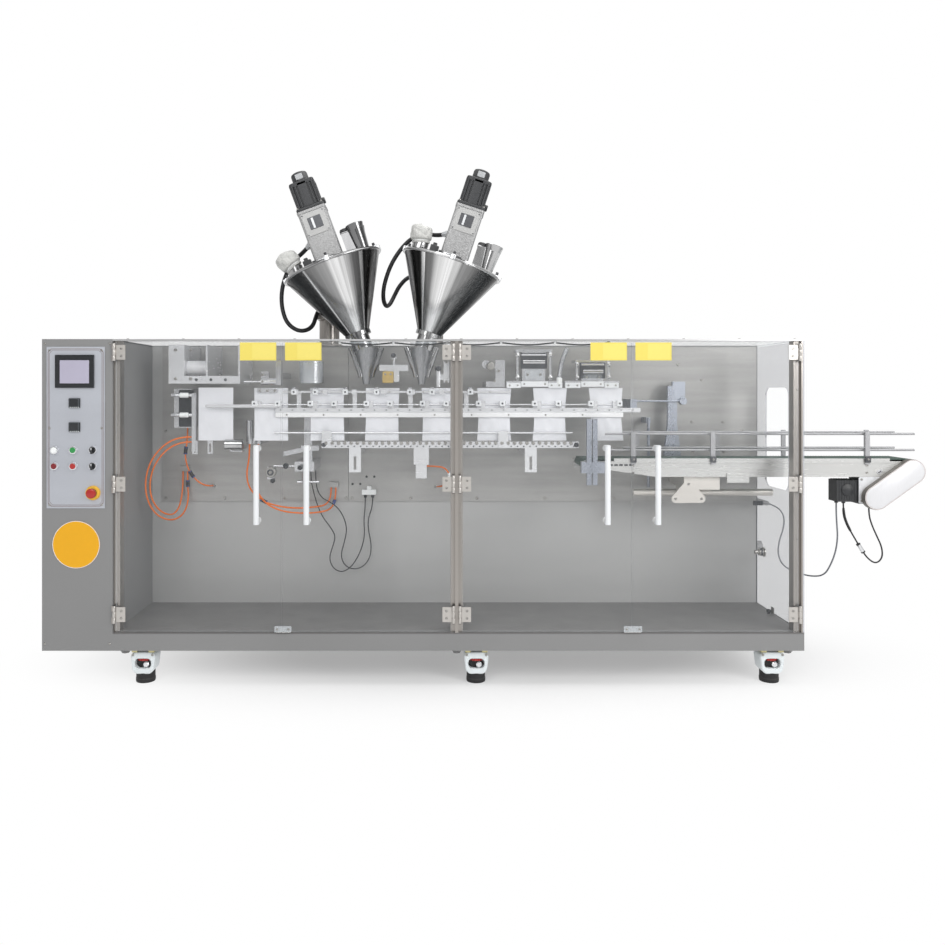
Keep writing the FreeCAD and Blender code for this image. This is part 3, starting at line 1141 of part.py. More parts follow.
def conveyor():
    """Outfeed conveyor: side plates, belt on two rollers, guides, drive and supports."""
    y0 = front + s.conveyor_front
    width = s.conveyor_width
    top = s.conveyor_top
    full = top - s.side_height
    frame = []
    for y in (y0, y0 + width - s.side_sheet):
        frame.append(side_plate(top, full, y))
    for x in (s.plate_x, s.gear_left + s.gear_width / 2):
        frame.append(box(left + x - s.tie_width / 2, y0, full, s.tie_width, width,
                         s.side_sheet))
    frame.append(box(left + s.clamp_left, y0 - s.post_sheet, s.clamp_bottom, s.clamp_width,
                     s.post_sheet, s.clamp_tall))
    for x, radius in belt_ends():
        frame.append(rod(x, y0, belt_line() - radius, radius, width, "Y"))
    node("conveyor_frame", fused(frame))
    belt_y = y0 + s.side_sheet + s.belt_gap
    belt_width = width - 2 * s.side_sheet - 2 * s.belt_gap
    outer = loop(s.roller_play + s.belt_sheet, belt_y, belt_width)
    hollow = loop(s.roller_play, belt_y, belt_width)
    node("conveyor_belt", less(outer, [hollow]))
    conveyor_guides(y0, width, top)
    conveyor_drive(y0)
    conveyor_support(y0)


def belt_line():
    """The height of the top of both rollers."""
    return s.conveyor_top + s.belt_rise - s.belt_sheet - s.roller_play


def belt_ends():
    """Place along X and radius of the nose roller and of the drive roller."""
    return ((left + s.conveyor_nose + s.roller_inset, s.nose_roller),
            (left + s.guard_high_x, s.drive_roller))


def loop(offset, y, width):
    """The drum round both rollers at an offset outside them."""
    (x1, radius1), (x2, radius2) = belt_ends()
    top = belt_line()
    ends = [rod(x1, y, top - radius1, radius1 + offset, width, "Y"),
            rod(x2, y, top - radius2, radius2 + offset, width, "Y")]
    middle = prism([(x1, top + offset), (x2, top + offset), (x2, top - 2 * radius2 - offset),
                    (x1, top - 2 * radius1 - offset)], y, width)
    return fused(ends + [middle])


def side_plate(top, full, y):
    """A side plate: shallow at the nose, full height past the taper, bevelled at the end."""
    shallow = top - s.nose_height
    nose = left + s.conveyor_nose
    end = left + s.conveyor_end
    points = [(nose, top), (end, top), (end - s.end_bevel, full),
              (left + s.taper_end, full), (left + s.taper_start, shallow), (nose, shallow)]
    return prism(points, y, s.side_sheet)


def conveyor_guides(y0, width, top):
    """Two pairs of guide rods on posts that are clamped to the side plates."""
    solids = []
    for outer_y, inward, places, start, finish in (
            (y0 - s.post_sheet, 1, FRONT_POSTS, s.front_rods_left, s.rods_right),
            (y0 + width, -1, REAR_POSTS, s.rear_rods_left, s.rods_right)):
        rod_y = outer_y + s.post_sheet / 2 + inward * s.rod_inset
        pieces = []
        for z in (s.low_rod_z, s.high_rod_z):
            pieces.append(rod(left + start, rod_y, z, s.guide_radius, finish - start, "X"))
        for name in places:
            x = left + getattr(s, name)
            pieces.append(box(x, outer_y, top - s.post_foot, s.post_width, s.post_sheet,
                              s.high_rod_z + 2 * s.guide_radius - top + s.post_foot))
            stub_y = outer_y if inward > 0 else rod_y
            for z in (s.low_rod_z, s.high_rod_z):
                pieces.append(box(x, stub_y, z - s.guide_radius, s.post_width,
                                  s.rod_inset + s.post_sheet / 2, 2 * s.guide_radius))
        solids.append(fused(pieces))
    node("conveyor_guides", group(solids))


def conveyor_drive(y0):
    """Chain guard over the end shaft, with the motor and gear bracket under the frame."""
    guard_y = y0 - s.post_sheet - s.guard_depth
    run = s.guard_high_x - s.guard_low_x
    rise = s.guard_high_z - s.guard_low_z
    length = span(run, rise)
    guard = [rod(0, 0, 0, s.guard_radius, s.guard_depth, "Y"),
             rod(0, 0, length, s.guard_radius, s.guard_depth, "Y"),
             box(-s.guard_radius, 0, 0, 2 * s.guard_radius, s.guard_depth, length)]
    shell = leaning(group([fused(guard)]), left + s.guard_low_x, guard_y, s.guard_low_z,
                    slope(run, rise))
    guard_back = guard_y + s.guard_depth
    shaft = rod(left + s.guard_high_x, guard_y + s.guard_depth / 2,
                belt_line() - s.drive_roller, s.shaft_radius,
                y0 - guard_y - s.guard_depth / 2, "Y")
    node("chain_guard", fused([shell, shaft]))
    full = s.conveyor_top - s.side_height
    bracket = box(left + s.gear_left, y0, full - s.gear_height, s.gear_width, s.gear_depth,
                  s.gear_height)
    motor = box(left + s.gear_left - s.drive_motor_length, y0 + s.motor_inset,
                full - s.gear_height + s.motor_inset, s.drive_motor_length,
                s.drive_motor_depth, s.drive_motor_height)
    low_shaft = rod(left + s.guard_low_x, guard_back, s.guard_low_z, s.shaft_radius,
                    y0 - guard_back, "Y")
    motor_route = CORDS["motor_lead"][1]
    cable_route = CORDS["machine_cable"][1]
    glands = [gland(route, s.motor_gland, s.motor_gland_length)
              for route in (motor_route, motor_route[::-1], cable_route[::-1])]
    node("conveyor_motor", fused([bracket, motor, low_shaft] + glands))


def rounded_triangle(x, y):
    """The upright triangle plate: three round corners joined by a plate that touches them."""
    radius = s.plate_corner
    foot = s.plate_half - radius
    low = s.plate_bottom + radius
    rise = s.plate_height - 2 * radius
    slope = math.hypot(foot.value, rise.value)
    out = radius * (rise.value / slope)
    up = radius * (foot.value / slope)
    top = low + rise
    core = prism([(x - foot, s.plate_bottom), (x + foot, s.plate_bottom),
                  (x + foot + out, low + up), (x + out, top + up), (x - out, top + up),
                  (x - foot - out, low + up)], y, s.plate_sheet)
    corners = [rod(x + side * foot, y, z, radius, s.plate_sheet, "Y")
               for side, z in ((-1, low), (1, low), (0, top))]
    return fused([core] + corners)


def conveyor_support(y0):
    """The support tube to the right wall with the triangle plate and its wall bracket."""
    plate_y = y0 + s.plate_setback
    tube = rod(left + s.tube_left, y0 + s.tube_depth, s.tube_z, s.tube_radius,
               panel_left_face - left - s.tube_left, "X")
    full = s.conveyor_top - s.side_height
    plate_x = left + s.plate_x
    plate = rounded_triangle(plate_x, plate_y)
    post = box(plate_x - s.arm_width, plate_y, s.tube_z, 2 * s.arm_width,
               s.tube_depth - s.plate_setback, full - s.tube_z)
    bracket = box(plate_x, y0 + s.tube_depth, full - s.bracket_height, s.bracket_width,
                  wall_face - y0 - s.tube_depth, s.bracket_height)
    tie = box(plate_x, plate_y, full - s.bracket_height, s.bracket_width,
              s.tube_depth - s.plate_setback, s.bracket_height)
    node("conveyor_support", fused([tube, plate, post, bracket, tie]))


def check_and_write():
    """Stop on any failed object, then write each sub-part's solids to its own file."""
    doc.recompute()
    for obj in doc.Objects:
        if "Invalid" in obj.State or "Error" in obj.State:
            raise RuntimeError(f"{obj.Label}: {obj.State}")
    os.makedirs("parts", exist_ok=True)
    for obj in nodes:
        shape = obj.Shape
        if shape.isNull() or not shape.isValid():
            raise RuntimeError(f"{obj.Label} has no valid shape")
        solids = shape.Solids
        whole = solids[0] if len(solids) == 1 else Part.makeCompound(solids)
        whole.exportStep(f"parts/{obj.Label}.step")
        print(f"{obj.Label}: {len(solids)} solids, {shape.Volume / 1e6:.2f} litres")
        if obj.Label in cords:
            print(f"  {shape.Volume / cords[obj.Label]:.3f} of its section times its length")


def build():
    """Make every sub-part."""
    base_frame()
    body_shell()
    posts()
    covers()
    doors()
    control_panel()
    casters()
    hoppers()
    hopper_columns()
    discharge_heads()
    film_unwind()
    pouch_line(pouch_former())
    roller_rail()
    air_stations()
    filling_bridge()
    sealing_heads()
    linkage()
    conveyor()
    for label, (thickness, route) in CORDS.items():
        cord(label, getattr(s, thickness), route)


build()
check_and_write()
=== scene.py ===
"""Looks of a horizontal form fill seal machine: finishes, hoses, cables and the fine pieces
that sit on its solids. Places are given as (x, depth, z) in metres: x from the left face of
the control cabinet, depth from its front face, z from the floor."""

import math

import bmesh
import bpy
import numpy as np
from mathutils import Matrix, Vector


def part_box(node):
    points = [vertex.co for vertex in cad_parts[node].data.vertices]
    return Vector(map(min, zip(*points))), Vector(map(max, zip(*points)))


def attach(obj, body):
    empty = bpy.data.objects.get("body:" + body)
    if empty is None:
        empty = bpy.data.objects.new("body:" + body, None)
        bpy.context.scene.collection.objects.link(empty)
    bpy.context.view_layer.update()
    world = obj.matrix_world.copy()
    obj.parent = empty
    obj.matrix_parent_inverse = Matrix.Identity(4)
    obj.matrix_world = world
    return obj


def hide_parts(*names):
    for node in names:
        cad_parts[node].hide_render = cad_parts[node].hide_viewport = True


bl_info = {
    "name": "Form fill seal machine looks",
    "version": (1, 0, 0),
    "blender": (4, 5, 0),
    "location": "3D View > Sidebar > Packaging line",
    "description": "Finishes, hoses, cables and fine pieces of a pouch packaging machine",
    "category": "Object",
}

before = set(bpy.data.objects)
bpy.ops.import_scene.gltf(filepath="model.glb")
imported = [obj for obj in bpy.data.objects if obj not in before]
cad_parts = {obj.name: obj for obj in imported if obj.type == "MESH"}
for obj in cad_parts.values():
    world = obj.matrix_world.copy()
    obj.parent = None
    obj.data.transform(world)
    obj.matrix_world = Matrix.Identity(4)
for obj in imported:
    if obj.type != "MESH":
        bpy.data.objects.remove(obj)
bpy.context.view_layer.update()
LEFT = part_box("control_cabinet")[0].x
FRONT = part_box("control_cabinet")[0].y
DOORS = (1, 2, 3, 4)
FULL_TURN = 2 * math.pi


def at(x, depth, z):
    """A place on the machine as a point of the shared frame."""
    return np.array([LEFT + x, FRONT + depth, z])


# Surfaces worked out as whole arrays

def loft(rings, caps=True, wrap=False):
    """A skin over a stack of rings: corner (i, j) joins (i, j+1), (i+1, j+1) and (i+1, j).
    Caps close the first and last ring. Wrap joins the last ring to the first."""
    rings = np.asarray(rings, float)
    count, around = rings.shape[:2]
    spans = count if wrap else count - 1
    i, j = np.meshgrid(np.arange(spans), np.arange(around), indexing="ij")
    after = (j + 1) % around
    above = (i + 1) % count
    faces = np.stack([i * around + j, i * around + after, above * around + after,
                      above * around + j], -1).reshape(-1, 4).tolist()
    if caps and not wrap:
        faces.append(list(range(around))[::-1])
        faces.append(list(range((count - 1) * around, count * around)))
    return rings.reshape(-1, 3), faces


def across(axis):
    """Two directions square to an axis and to each other."""
    axis = np.asarray(axis, float) / np.linalg.norm(axis)
    helper = np.array([0.0, 0.0, 1.0]) if abs(axis[2]) < 0.9 else np.array([1.0, 0.0, 0.0])
    first = np.cross(helper, axis)
    first /= np.linalg.norm(first)
    return axis, first, np.cross(axis, first)


def turned(start, axis, profile, sides=32):
    """A lathe shape: at distance t along the axis the ring has radius r, for each (t, r)."""
    axis, first, second = across(axis)
    t, r = np.array(profile, float).T
    angle = np.linspace(0, FULL_TURN, sides, endpoint=False)
    circle = np.cos(angle)[:, None] * first + np.sin(angle)[:, None] * second
    rings = np.asarray(start) + t[:, None, None] * axis + r[:, None, None] * circle
    return loft(rings)


def disc(start, axis, radius, height, ease=0.15, sides=24):
    """A round boss whose far rim is eased by a share of its height or radius."""
    cut = ease * min(radius, height)
    return turned(start, axis, [(0, radius), (height - cut, radius), (height, radius - cut)],
                  sides)


def piped(path, radius, sides=12):
    """A round section carried along a path: each ring lies square to the path's direction,
    turned as little as possible from a fixed side direction. Radius may change on the way."""
    path = np.asarray(path, float)
    run = np.gradient(path, axis=0)
    run /= np.linalg.norm(run, axis=1)[:, None]
    spread = np.ptp(path, axis=0)
    side = np.eye(3)[np.argmin(spread)] + 0.05
    first = np.cross(run, side)
    first /= np.linalg.norm(first, axis=1)[:, None]
    second = np.cross(run, first)
    angle = np.linspace(0, FULL_TURN, sides, endpoint=False)
    radius = np.broadcast_to(radius, len(path))[:, None, None]
    rings = path[:, None] + radius * (np.cos(angle)[None, :, None] * first[:, None]
                                      + np.sin(angle)[None, :, None] * second[:, None])
    return loft(rings)


def smooth_path(points, count=24):
    """Points along a quadratic spline whose corners are rounded between the middles."""
    points = np.asarray(points, float)
    middles = (points[1:] + points[:-1]) / 2
    knots = [points[:1]]
    t = np.linspace(0, 1, count)[:, None]
    for k in range(1, len(points) - 1):
        a, b, c = middles[k - 1], points[k], middles[k]
        knots.append((1 - t) ** 2 * a + 2 * t * (1 - t) * b + t ** 2 * c)
    knots.append(points[-1:])
    return np.concatenate(knots)


def oblong(low, high, radius, steps=5):
    """The outline of a rectangle with round corners, as points in two directions."""
    (x0, z0), (x1, z1) = low, high
    radius = min(radius, (x1 - x0) / 2, (z1 - z0) / 2)
    angle = np.linspace(0, math.pi / 2, steps)
    corners = []
    for k, (cx, cz) in enumerate(((x1 - radius, z1 - radius), (x0 + radius, z1 - radius),
                                  (x0 + radius, z0 + radius), (x1 - radius, z0 + radius))):
        a = angle + k * math.pi / 2
        corners.append(np.stack([cx + radius * np.cos(a), cz + radius * np.sin(a)], 1))
    return np.concatenate(corners)


def inset(outline, amount):
    """An outline drawn in towards its middle by an amount on each side."""
    middle = (outline.max(0) + outline.min(0)) / 2
    half = np.ptp(outline, axis=0) / 2
    return middle + (outline - middle) * (1 - amount / half)


AXIS_PLACES = {"X": (1, 2, 0), "Y": (0, 2, 1), "Z": (0, 1, 2)}


def raised(outline, along, axis):
    """Lay an outline square to an axis at a place along it."""
    first, second, third = AXIS_PLACES[axis]
    ring = np.zeros((len(outline), 3))
    ring[:, first] = outline[:, 0]
    ring[:, second] = outline[:, 1]
    ring[:, third] = along
    return ring


def slab(low, high, radius=0.004, ease=0.0015, axis="Y"):
    """A block with round corners round an axis and eased rims at both ends of it."""
    low, high = np.minimum(low, high), np.maximum(low, high)
    first, second, third = AXIS_PLACES[axis]
    outline = oblong((low[first], low[second]), (high[first], high[second]), radius)
    thick = high[third] - low[third]
    ease = min(ease, 0.3 * thick, 0.3 * np.ptp(outline, axis=0).min())
    small = inset(outline, ease)
    return loft([raised(small, low[third], axis), raised(outline, low[third] + ease, axis),
                 raised(outline, high[third] - ease, axis), raised(small, high[third], axis)])


def pierced(outer, inner, start, end, axis="Y"):
    """A plate between two outlines with equally many points, so with a hole through it."""
    return loft([raised(outer, start, axis), raised(inner, start, axis),
                 raised(inner, end, axis), raised(outer, end, axis)], wrap=True)


def leaned(surface, origin, tilt):
    """A surface made round the origin, leaned to +X by the tilt and moved to its place."""
    points, faces = surface
    turn = np.array(Matrix.Rotation(tilt, 3, "Y"))
    return points @ turn.T + np.asarray(origin), faces


class Shape:
    """Gathers surfaces with their finishes and makes them one mesh at the origin."""

    def __init__(self):
        self.points, self.faces, self.marks, self.finishes = [], [], [], []
        self.total = 0

    def add(self, surface, finish):
        points, faces = surface
        if finish not in self.finishes:
            self.finishes.append(finish)
        self.points.append(points)
        self.faces += [[corner + self.total for corner in face] for face in faces]
        self.marks += [self.finishes.index(finish)] * len(faces)
        self.total += len(points)
        return self

    def build(self, name, body="machine", replaces=(), slot=None, sharp=35):
        mesh = bpy.data.meshes.new(name)
        mesh.from_pydata(np.concatenate(self.points), [], self.faces)
        mesh.polygons.foreach_set("material_index", self.marks)
        for finish in self.finishes:
            mesh.materials.append(finishes[finish])
        work = bmesh.new()
        work.from_mesh(mesh)
        bmesh.ops.remove_doubles(work, verts=work.verts, dist=1e-6)
        bmesh.ops.recalc_face_normals(work, faces=work.faces)
        work.to_mesh(mesh)
        work.free()
        mesh.polygons.foreach_set("use_smooth", np.ones(len(mesh.polygons), bool))
        mesh.set_sharp_from_angle(angle=math.radians(sharp))
        piece = bpy.data.objects.new(name, mesh)
        bpy.context.scene.collection.objects.link(piece)
        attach(piece, body)
        if replaces:
            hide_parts(*replaces)
        return piece


# Finishes

finishes = {}


def grain_group():
    """Grain of a finish: coarse clouds mixed with fine noise, as a mask and a height."""
    group = bpy.data.node_groups.new("surface_grain", "ShaderNodeTree")
    for name, kind, default in (("Vector", "NodeSocketVector", None),
                                ("Scale", "NodeSocketFloat", 20.0),
                                ("Fine", "NodeSocketFloat", 0.5)):
        socket = group.interface.new_socket(name, in_out="INPUT", socket_type=kind)
        if default is not None:
            socket.default_value = default
    for name in ("Mask", "Height"):
        group.interface.new_socket(name, in_out="OUTPUT", socket_type="NodeSocketFloat")
    nodes, links = group.nodes, group.links
    inputs = nodes.new("NodeGroupInput")
    outputs = nodes.new("NodeGroupOutput")
    clouds = nodes.new("ShaderNodeTexNoise")
    clouds.inputs["Scale"].default_value = 1.7
    clouds.inputs["Detail"].default_value = 3
    fine = nodes.new("ShaderNodeTexNoise")
    fine.inputs["Detail"].default_value = 4
    blend = nodes.new("ShaderNodeMix")
    links.new(inputs.outputs["Vector"], clouds.inputs["Vector"])
    links.new(inputs.outputs["Vector"], fine.inputs["Vector"])
    links.new(inputs.outputs["Scale"], fine.inputs["Scale"])
    links.new(inputs.outputs["Fine"], blend.inputs["Factor"])
    links.new(clouds.outputs["Fac"], blend.inputs["A"])
    links.new(fine.outputs["Fac"], blend.inputs["B"])
    links.new(blend.outputs["Result"], outputs.inputs["Mask"])
    links.new(fine.outputs["Fac"], outputs.inputs["Height"])
    return group


def dust_group():
    """Dust that lies on faces that look up: the upward share of the normal, broken up."""
    group = bpy.data.node_groups.new("settled_dust", "ShaderNodeTree")
    group.interface.new_socket("Vector", in_out="INPUT", socket_type="NodeSocketVector")
    amount = group.interface.new_socket("Amount", in_out="INPUT", socket_type="NodeSocketFloat")
    amount.default_value = 0.2
    group.interface.new_socket("Mask", in_out="OUTPUT", socket_type="NodeSocketFloat")
    nodes, links = group.nodes, group.links
    inputs = nodes.new("NodeGroupInput")
    outputs = nodes.new("NodeGroupOutput")
    geometry = nodes.new("ShaderNodeNewGeometry")
    split = nodes.new("ShaderNodeSeparateXYZ")
    clouds = nodes.new("ShaderNodeTexNoise")
    clouds.inputs["Scale"].default_value = 9
    clouds.inputs["Detail"].default_value = 5
    upward = nodes.new("ShaderNodeMath")
    upward.operation = "MULTIPLY"
    share = nodes.new("ShaderNodeMath")
    share.operation = "MULTIPLY"
    share.use_clamp = True
    links.new(inputs.outputs["Vector"], clouds.inputs["Vector"])
    links.new(geometry.outputs["Normal"], split.inputs[0])
    links.new(split.outputs["Z"], upward.inputs[0])
    links.new(clouds.outputs["Fac"], upward.inputs[1])
    links.new(upward.outputs[0], share.inputs[0])
    links.new(inputs.outputs["Amount"], share.inputs[1])
    links.new(share.outputs[0], outputs.inputs["Mask"])
    return group


def finish(name, colour, rough=0.45, metal=0.0, grain=20.0, fine=0.5, change=0.12,
           bump=0.0, stretch=(1, 1, 1), dust=0.0, coat=0.0, alpha=None, transmission=0.0,
           ior=1.45, rough_change=0.08, dark=None):
    """A finish: colour and roughness wander with the grain, dust greys upward faces, and
    the grain's height gives the bump. A given dark colour widens the colour's wander into
    painted reflection bands. Colours are linear."""
    material = bpy.data.materials.new(name)
    material.use_nodes = True
    nodes, links = material.node_tree.nodes, material.node_tree.links
    shader = nodes["Principled BSDF"]
    shader.inputs["Metallic"].default_value = metal
    shader.inputs["Coat Weight"].default_value = coat
    shader.inputs["Transmission Weight"].default_value = transmission
    shader.inputs["IOR"].default_value = ior
    if alpha is not None:
        shader.inputs["Alpha"].default_value = alpha
    place = nodes.new("ShaderNodeTexCoord")
    mapping = nodes.new("ShaderNodeMapping")
    mapping.inputs["Scale"].default_value = stretch
    links.new(place.outputs["Object"], mapping.inputs["Vector"])
    cloud = nodes.new("ShaderNodeGroup")
    cloud.node_tree = groups["grain"]
    cloud.inputs["Scale"].default_value = grain
    cloud.inputs["Fine"].default_value = fine
    links.new(mapping.outputs["Vector"], cloud.inputs["Vector"])
    colour = np.array(colour, float)
    low = np.array(dark, float) if dark is not None else colour * (1 - change)
    high = np.clip(colour * (1 + change), 0, 1)
    ramp = nodes.new("ShaderNodeValToRGB")
    ramp.color_ramp.elements[0].position = 0.34
    ramp.color_ramp.elements[0].color = (*low, 1)
    ramp.color_ramp.elements[1].position = 0.66
    ramp.color_ramp.elements[1].color = (*high, 1)
    links.new(cloud.outputs["Mask"], ramp.inputs["Fac"])
    shade = ramp.outputs["Color"]
    if dust:
        layer = nodes.new("ShaderNodeGroup")
        layer.node_tree = groups["dust"]
        layer.inputs["Amount"].default_value = dust
        links.new(place.outputs["Object"], layer.inputs["Vector"])
        cover = nodes.new("ShaderNodeMix")
        cover.data_type = "RGBA"
        cover.inputs["B"].default_value = (0.5, 0.49, 0.46, 1)
        links.new(layer.outputs["Mask"], cover.inputs["Factor"])
        links.new(shade, cover.inputs["A"])
        shade = cover.outputs["Result"]
    links.new(shade, shader.inputs["Base Color"])
    gloss = nodes.new("ShaderNodeMapRange")
    gloss.inputs["To Min"].default_value = max(rough - rough_change, 0.02)
    gloss.inputs["To Max"].default_value = min(rough + rough_change, 1.0)
    links.new(cloud.outputs["Mask"], gloss.inputs["Value"])
    links.new(gloss.outputs["Result"], shader.inputs["Roughness"])
    if bump:
        relief = nodes.new("ShaderNodeBump")
        relief.inputs["Distance"].default_value = bump
        links.new(cloud.outputs["Height"], relief.inputs["Height"])
        links.new(relief.outputs["Normal"], shader.inputs["Normal"])
    finishes[name] = material
    return material


def clear_edges(material, face_axis, alpha):
    """Make a clear sheet's cut edges show: the more a face looks along its sheet, the
    denser it is. The mask is one less the normal's share across the sheet."""
    nodes, links = material.node_tree.nodes, material.node_tree.links
    geometry = nodes.new("ShaderNodeNewGeometry")
    split = nodes.new("ShaderNodeSeparateXYZ")
    size = nodes.new("ShaderNodeMath")
    size.operation = "ABSOLUTE"
    dense = nodes.new("ShaderNodeMapRange")
    dense.inputs["From Min"].default_value = 0.9
    dense.inputs["From Max"].default_value = 0.4
    dense.inputs["To Min"].default_value = alpha
    dense.inputs["To Max"].default_value = 0.55
    links.new(geometry.outputs["Normal"], split.inputs[0])
    links.new(split.outputs[face_axis], size.inputs[0])
    links.new(size.outputs[0], dense.inputs["Value"])
    links.new(dense.outputs["Result"], material.node_tree.nodes["Principled BSDF"].inputs["Alpha"])


groups = {}


def linear(r, g, b):
    """A colour read off in screen values of 0 to 255, as linear light."""
    value = np.array([r, g, b], float) / 255
    return tuple(np.where(value <= 0.04045, value / 12.92, ((value + 0.055) / 1.055) ** 2.4))


def make_finishes(looks):
    """Every finish of the machine, by its name."""
    groups["grain"] = grain_group()
    groups["dust"] = dust_group()
    finish("cabinet_paint", looks.cabinet_colour, 0.5, grain=240, fine=0.35, change=0.05,
           bump=0.0002, dust=0.15)
    finish("floor_paint", linear(104, 103, 103), 0.4, grain=180, change=0.07, bump=0.0002,
           dust=0.25)
    finish("wall_steel", linear(170, 169, 167), 0.36, 0.45, grain=60, fine=0.45, change=0.12,
           stretch=(1, 1, 16), rough_change=0.1)
    finish("post_steel", linear(164, 159, 154), 0.3, 0.85, grain=50, change=0.08,
           stretch=(20, 20, 1))
    finish("top_steel", linear(190, 190, 190), 0.3, 0.7, grain=40, change=0.08,
           stretch=(1, 20, 20))
    finish("leaf_steel", linear(196, 192, 187), 0.34, 0.7, grain=90, change=0.06,
           stretch=(1, 1, 8))
    finish("screw_steel", linear(170, 168, 164), 0.28, 0.9, grain=60, change=0.1)
    finish("chrome_ring", linear(226, 227, 229), 0.2, 0.8, grain=30, change=0.05)
    finish("housing_paint", linear(176, 176, 175), 0.42, 0.1, grain=200, change=0.05,
           bump=0.0001, stretch=(1, 1, 6))
    finish("cone_steel", linear(150, 151, 153), 0.3, 0.85, grain=30, change=0.2,
           stretch=(6, 6, 1))
    finish("window_steel", linear(96, 97, 99), 0.3, 0.8, grain=55, change=0.6,
           stretch=(1.6, 1, 0.35))
    finish("bar_white", linear(238, 238, 239), 0.3, 0.25, grain=30, change=0.02,
           stretch=(0.3, 4, 4))
    finish("panel_plate", linear(184, 187, 194), 0.4, 0.45, grain=160, change=0.04,
           stretch=(1, 1, 6), bump=0.0001)
    finish("panel_line", linear(128, 112, 112), 0.5, grain=100, change=0.1)
    finish("black_gloss", linear(36, 38, 41), 0.25, grain=60, change=0.2, coat=0.3)
    finish("display", linear(176, 172, 190), 0.2, grain=8, change=0.04, coat=0.4)
    finish("dial_face", linear(62, 66, 70), 0.3, grain=50, change=0.1)
    finish("white_plastic_and_highlight", linear(236, 238, 238), 0.35, grain=50, change=0.03)
    finish("green_cap", linear(40, 140, 70), 0.25, grain=30, change=0.08, coat=0.3)
    finish("red_cap", linear(168, 38, 34), 0.3, grain=30, change=0.08, coat=0.3)
    finish("dark_red_cap", linear(122, 24, 30), 0.28, grain=30, change=0.12, coat=0.3)
    finish("stop_yellow", linear(232, 180, 60), 0.4, grain=40, change=0.05)
    finish("badge_yellow", looks.badge_colour, 0.42, grain=60, fine=0.3, change=0.03)
    finish("label_yellow", looks.label_colour, 0.5, grain=80, fine=0.3, change=0.04)
    finish("label_pale", linear(226, 210, 108), 0.5, grain=80, fine=0.3, change=0.03)
    finish("clear_acrylic", linear(205, 210, 214), 0.06, grain=3, change=0.03, alpha=0.035,
           rough_change=0.03)
    clear_edges(finishes["clear_acrylic"], "Y", 0.035)
    finish("cover_acrylic", linear(220, 226, 230), 0.08, grain=3, change=0.03, alpha=0.2)
    clear_edges(finishes["cover_acrylic"], "Z", 0.2)
    finish("side_acrylic", linear(180, 181, 188), 0.1, grain=4, change=0.03, alpha=0.285)
    clear_edges(finishes["side_acrylic"], "X", 0.285)
    finish("cup_acrylic", linear(222, 228, 232), 0.08, grain=6, change=0.03, alpha=0.3)
    finish("handle_white", linear(226, 228, 230), 0.3, grain=60, change=0.03, coat=0.2)
    finish("caster_white", linear(222, 228, 230), 0.42, grain=120, fine=0.4, change=0.05,
           bump=0.0002, dust=0.2)
    finish("zinc_yellow", linear(205, 196, 150), 0.38, 0.6, grain=30, change=0.12)
    finish("rubber_black", linear(34, 34, 35), 0.6, grain=140, change=0.2, bump=0.0003,
           dust=0.3)
    finish("bag_cloth", linear(198, 198, 195), 0.85, grain=420, fine=0.35, change=0.04,
           bump=0.0004)
    finish("hammered_grey", linear(158, 158, 158), 0.42, 0.4, grain=170, fine=0.75,
           change=0.22, bump=0.0016)
    finish("grey_paint", linear(172, 174, 176), 0.42, grain=120, change=0.05, bump=0.0002)
    finish("motor_black", linear(52, 53, 55), 0.45, grain=120, change=0.15, bump=0.0003,
           dust=0.25)
    finish("gear_grey", linear(206, 208, 210), 0.38, 0.4, grain=80, change=0.08)
    finish("rail_steel", linear(226, 227, 229), 0.26, 0.6, grain=16, change=0.03,
           stretch=(0.4, 5, 5))
    finish("block_steel", linear(206, 207, 209), 0.24, 0.85, grain=16, fine=0.3, change=0.12)
    finish("dark_steel", linear(84, 85, 88), 0.38, 0.7, grain=70, change=0.15)
    finish("brass", linear(196, 170, 112), 0.35, 0.85, grain=60, change=0.12)
    finish("conveyor_steel", linear(206, 206, 204), 0.28, 0.6, grain=14, change=0.03,
           stretch=(0.4, 5, 5))
    finish("guide_steel", linear(163, 163, 165), 0.4, 0.5, grain=14, change=0.03)
    finish("guard_steel", linear(222, 223, 226), 0.34, 0.4, grain=70, change=0.05)
    finish("guard_face", linear(216, 216, 218), 0.36, 0.15, grain=60, change=0.03,
           stretch=(4, 4, 0.4))
    # the side wall of the round covers is the same steel as their face, given a dark colour: painted
    # shade
    finish("guard_side_shade", linear(112, 108, 102), 0.45, 0.3, grain=60, change=0.1)
    finish("guard_rim", linear(206, 200, 198), 0.32, 0.5, grain=60, change=0.06)
    finish("support_steel", linear(210, 206, 200), 0.34, 0.4, grain=60, change=0.08,
           stretch=(1, 14, 14))
    finish("lever_blue", linear(172, 177, 187), 0.28, 0.75, grain=70, change=0.08,
           stretch=(12, 12, 1))
    finish("belt_green", looks.belt_colour, 0.6, grain=300, change=0.12, bump=0.0004)
    finish("film_white", looks.pouch_colour, 0.3, grain=14, fine=0.6, change=0.05,
           bump=0.004, coat=0.35)
    finish("roll_film", linear(222, 222, 224), 0.4, 0.1, grain=90, change=0.06,
           stretch=(20, 1, 1))
    finish("hose_orange", looks.air_hose_colour, 0.34, grain=60, change=0.06, coat=0.25)
    finish("hose_black", linear(34, 34, 36), 0.5, grain=200, change=0.2, bump=0.0002)
    finish("cord_black", linear(38, 38, 40), 0.5, grain=260, change=0.15, bump=0.0001)
    finish("cord_grey", linear(116, 118, 124), 0.5, grain=260, change=0.08, bump=0.0001)
    finish("connector_blue", linear(44, 62, 120), 0.35, grain=50, change=0.1, coat=0.2)
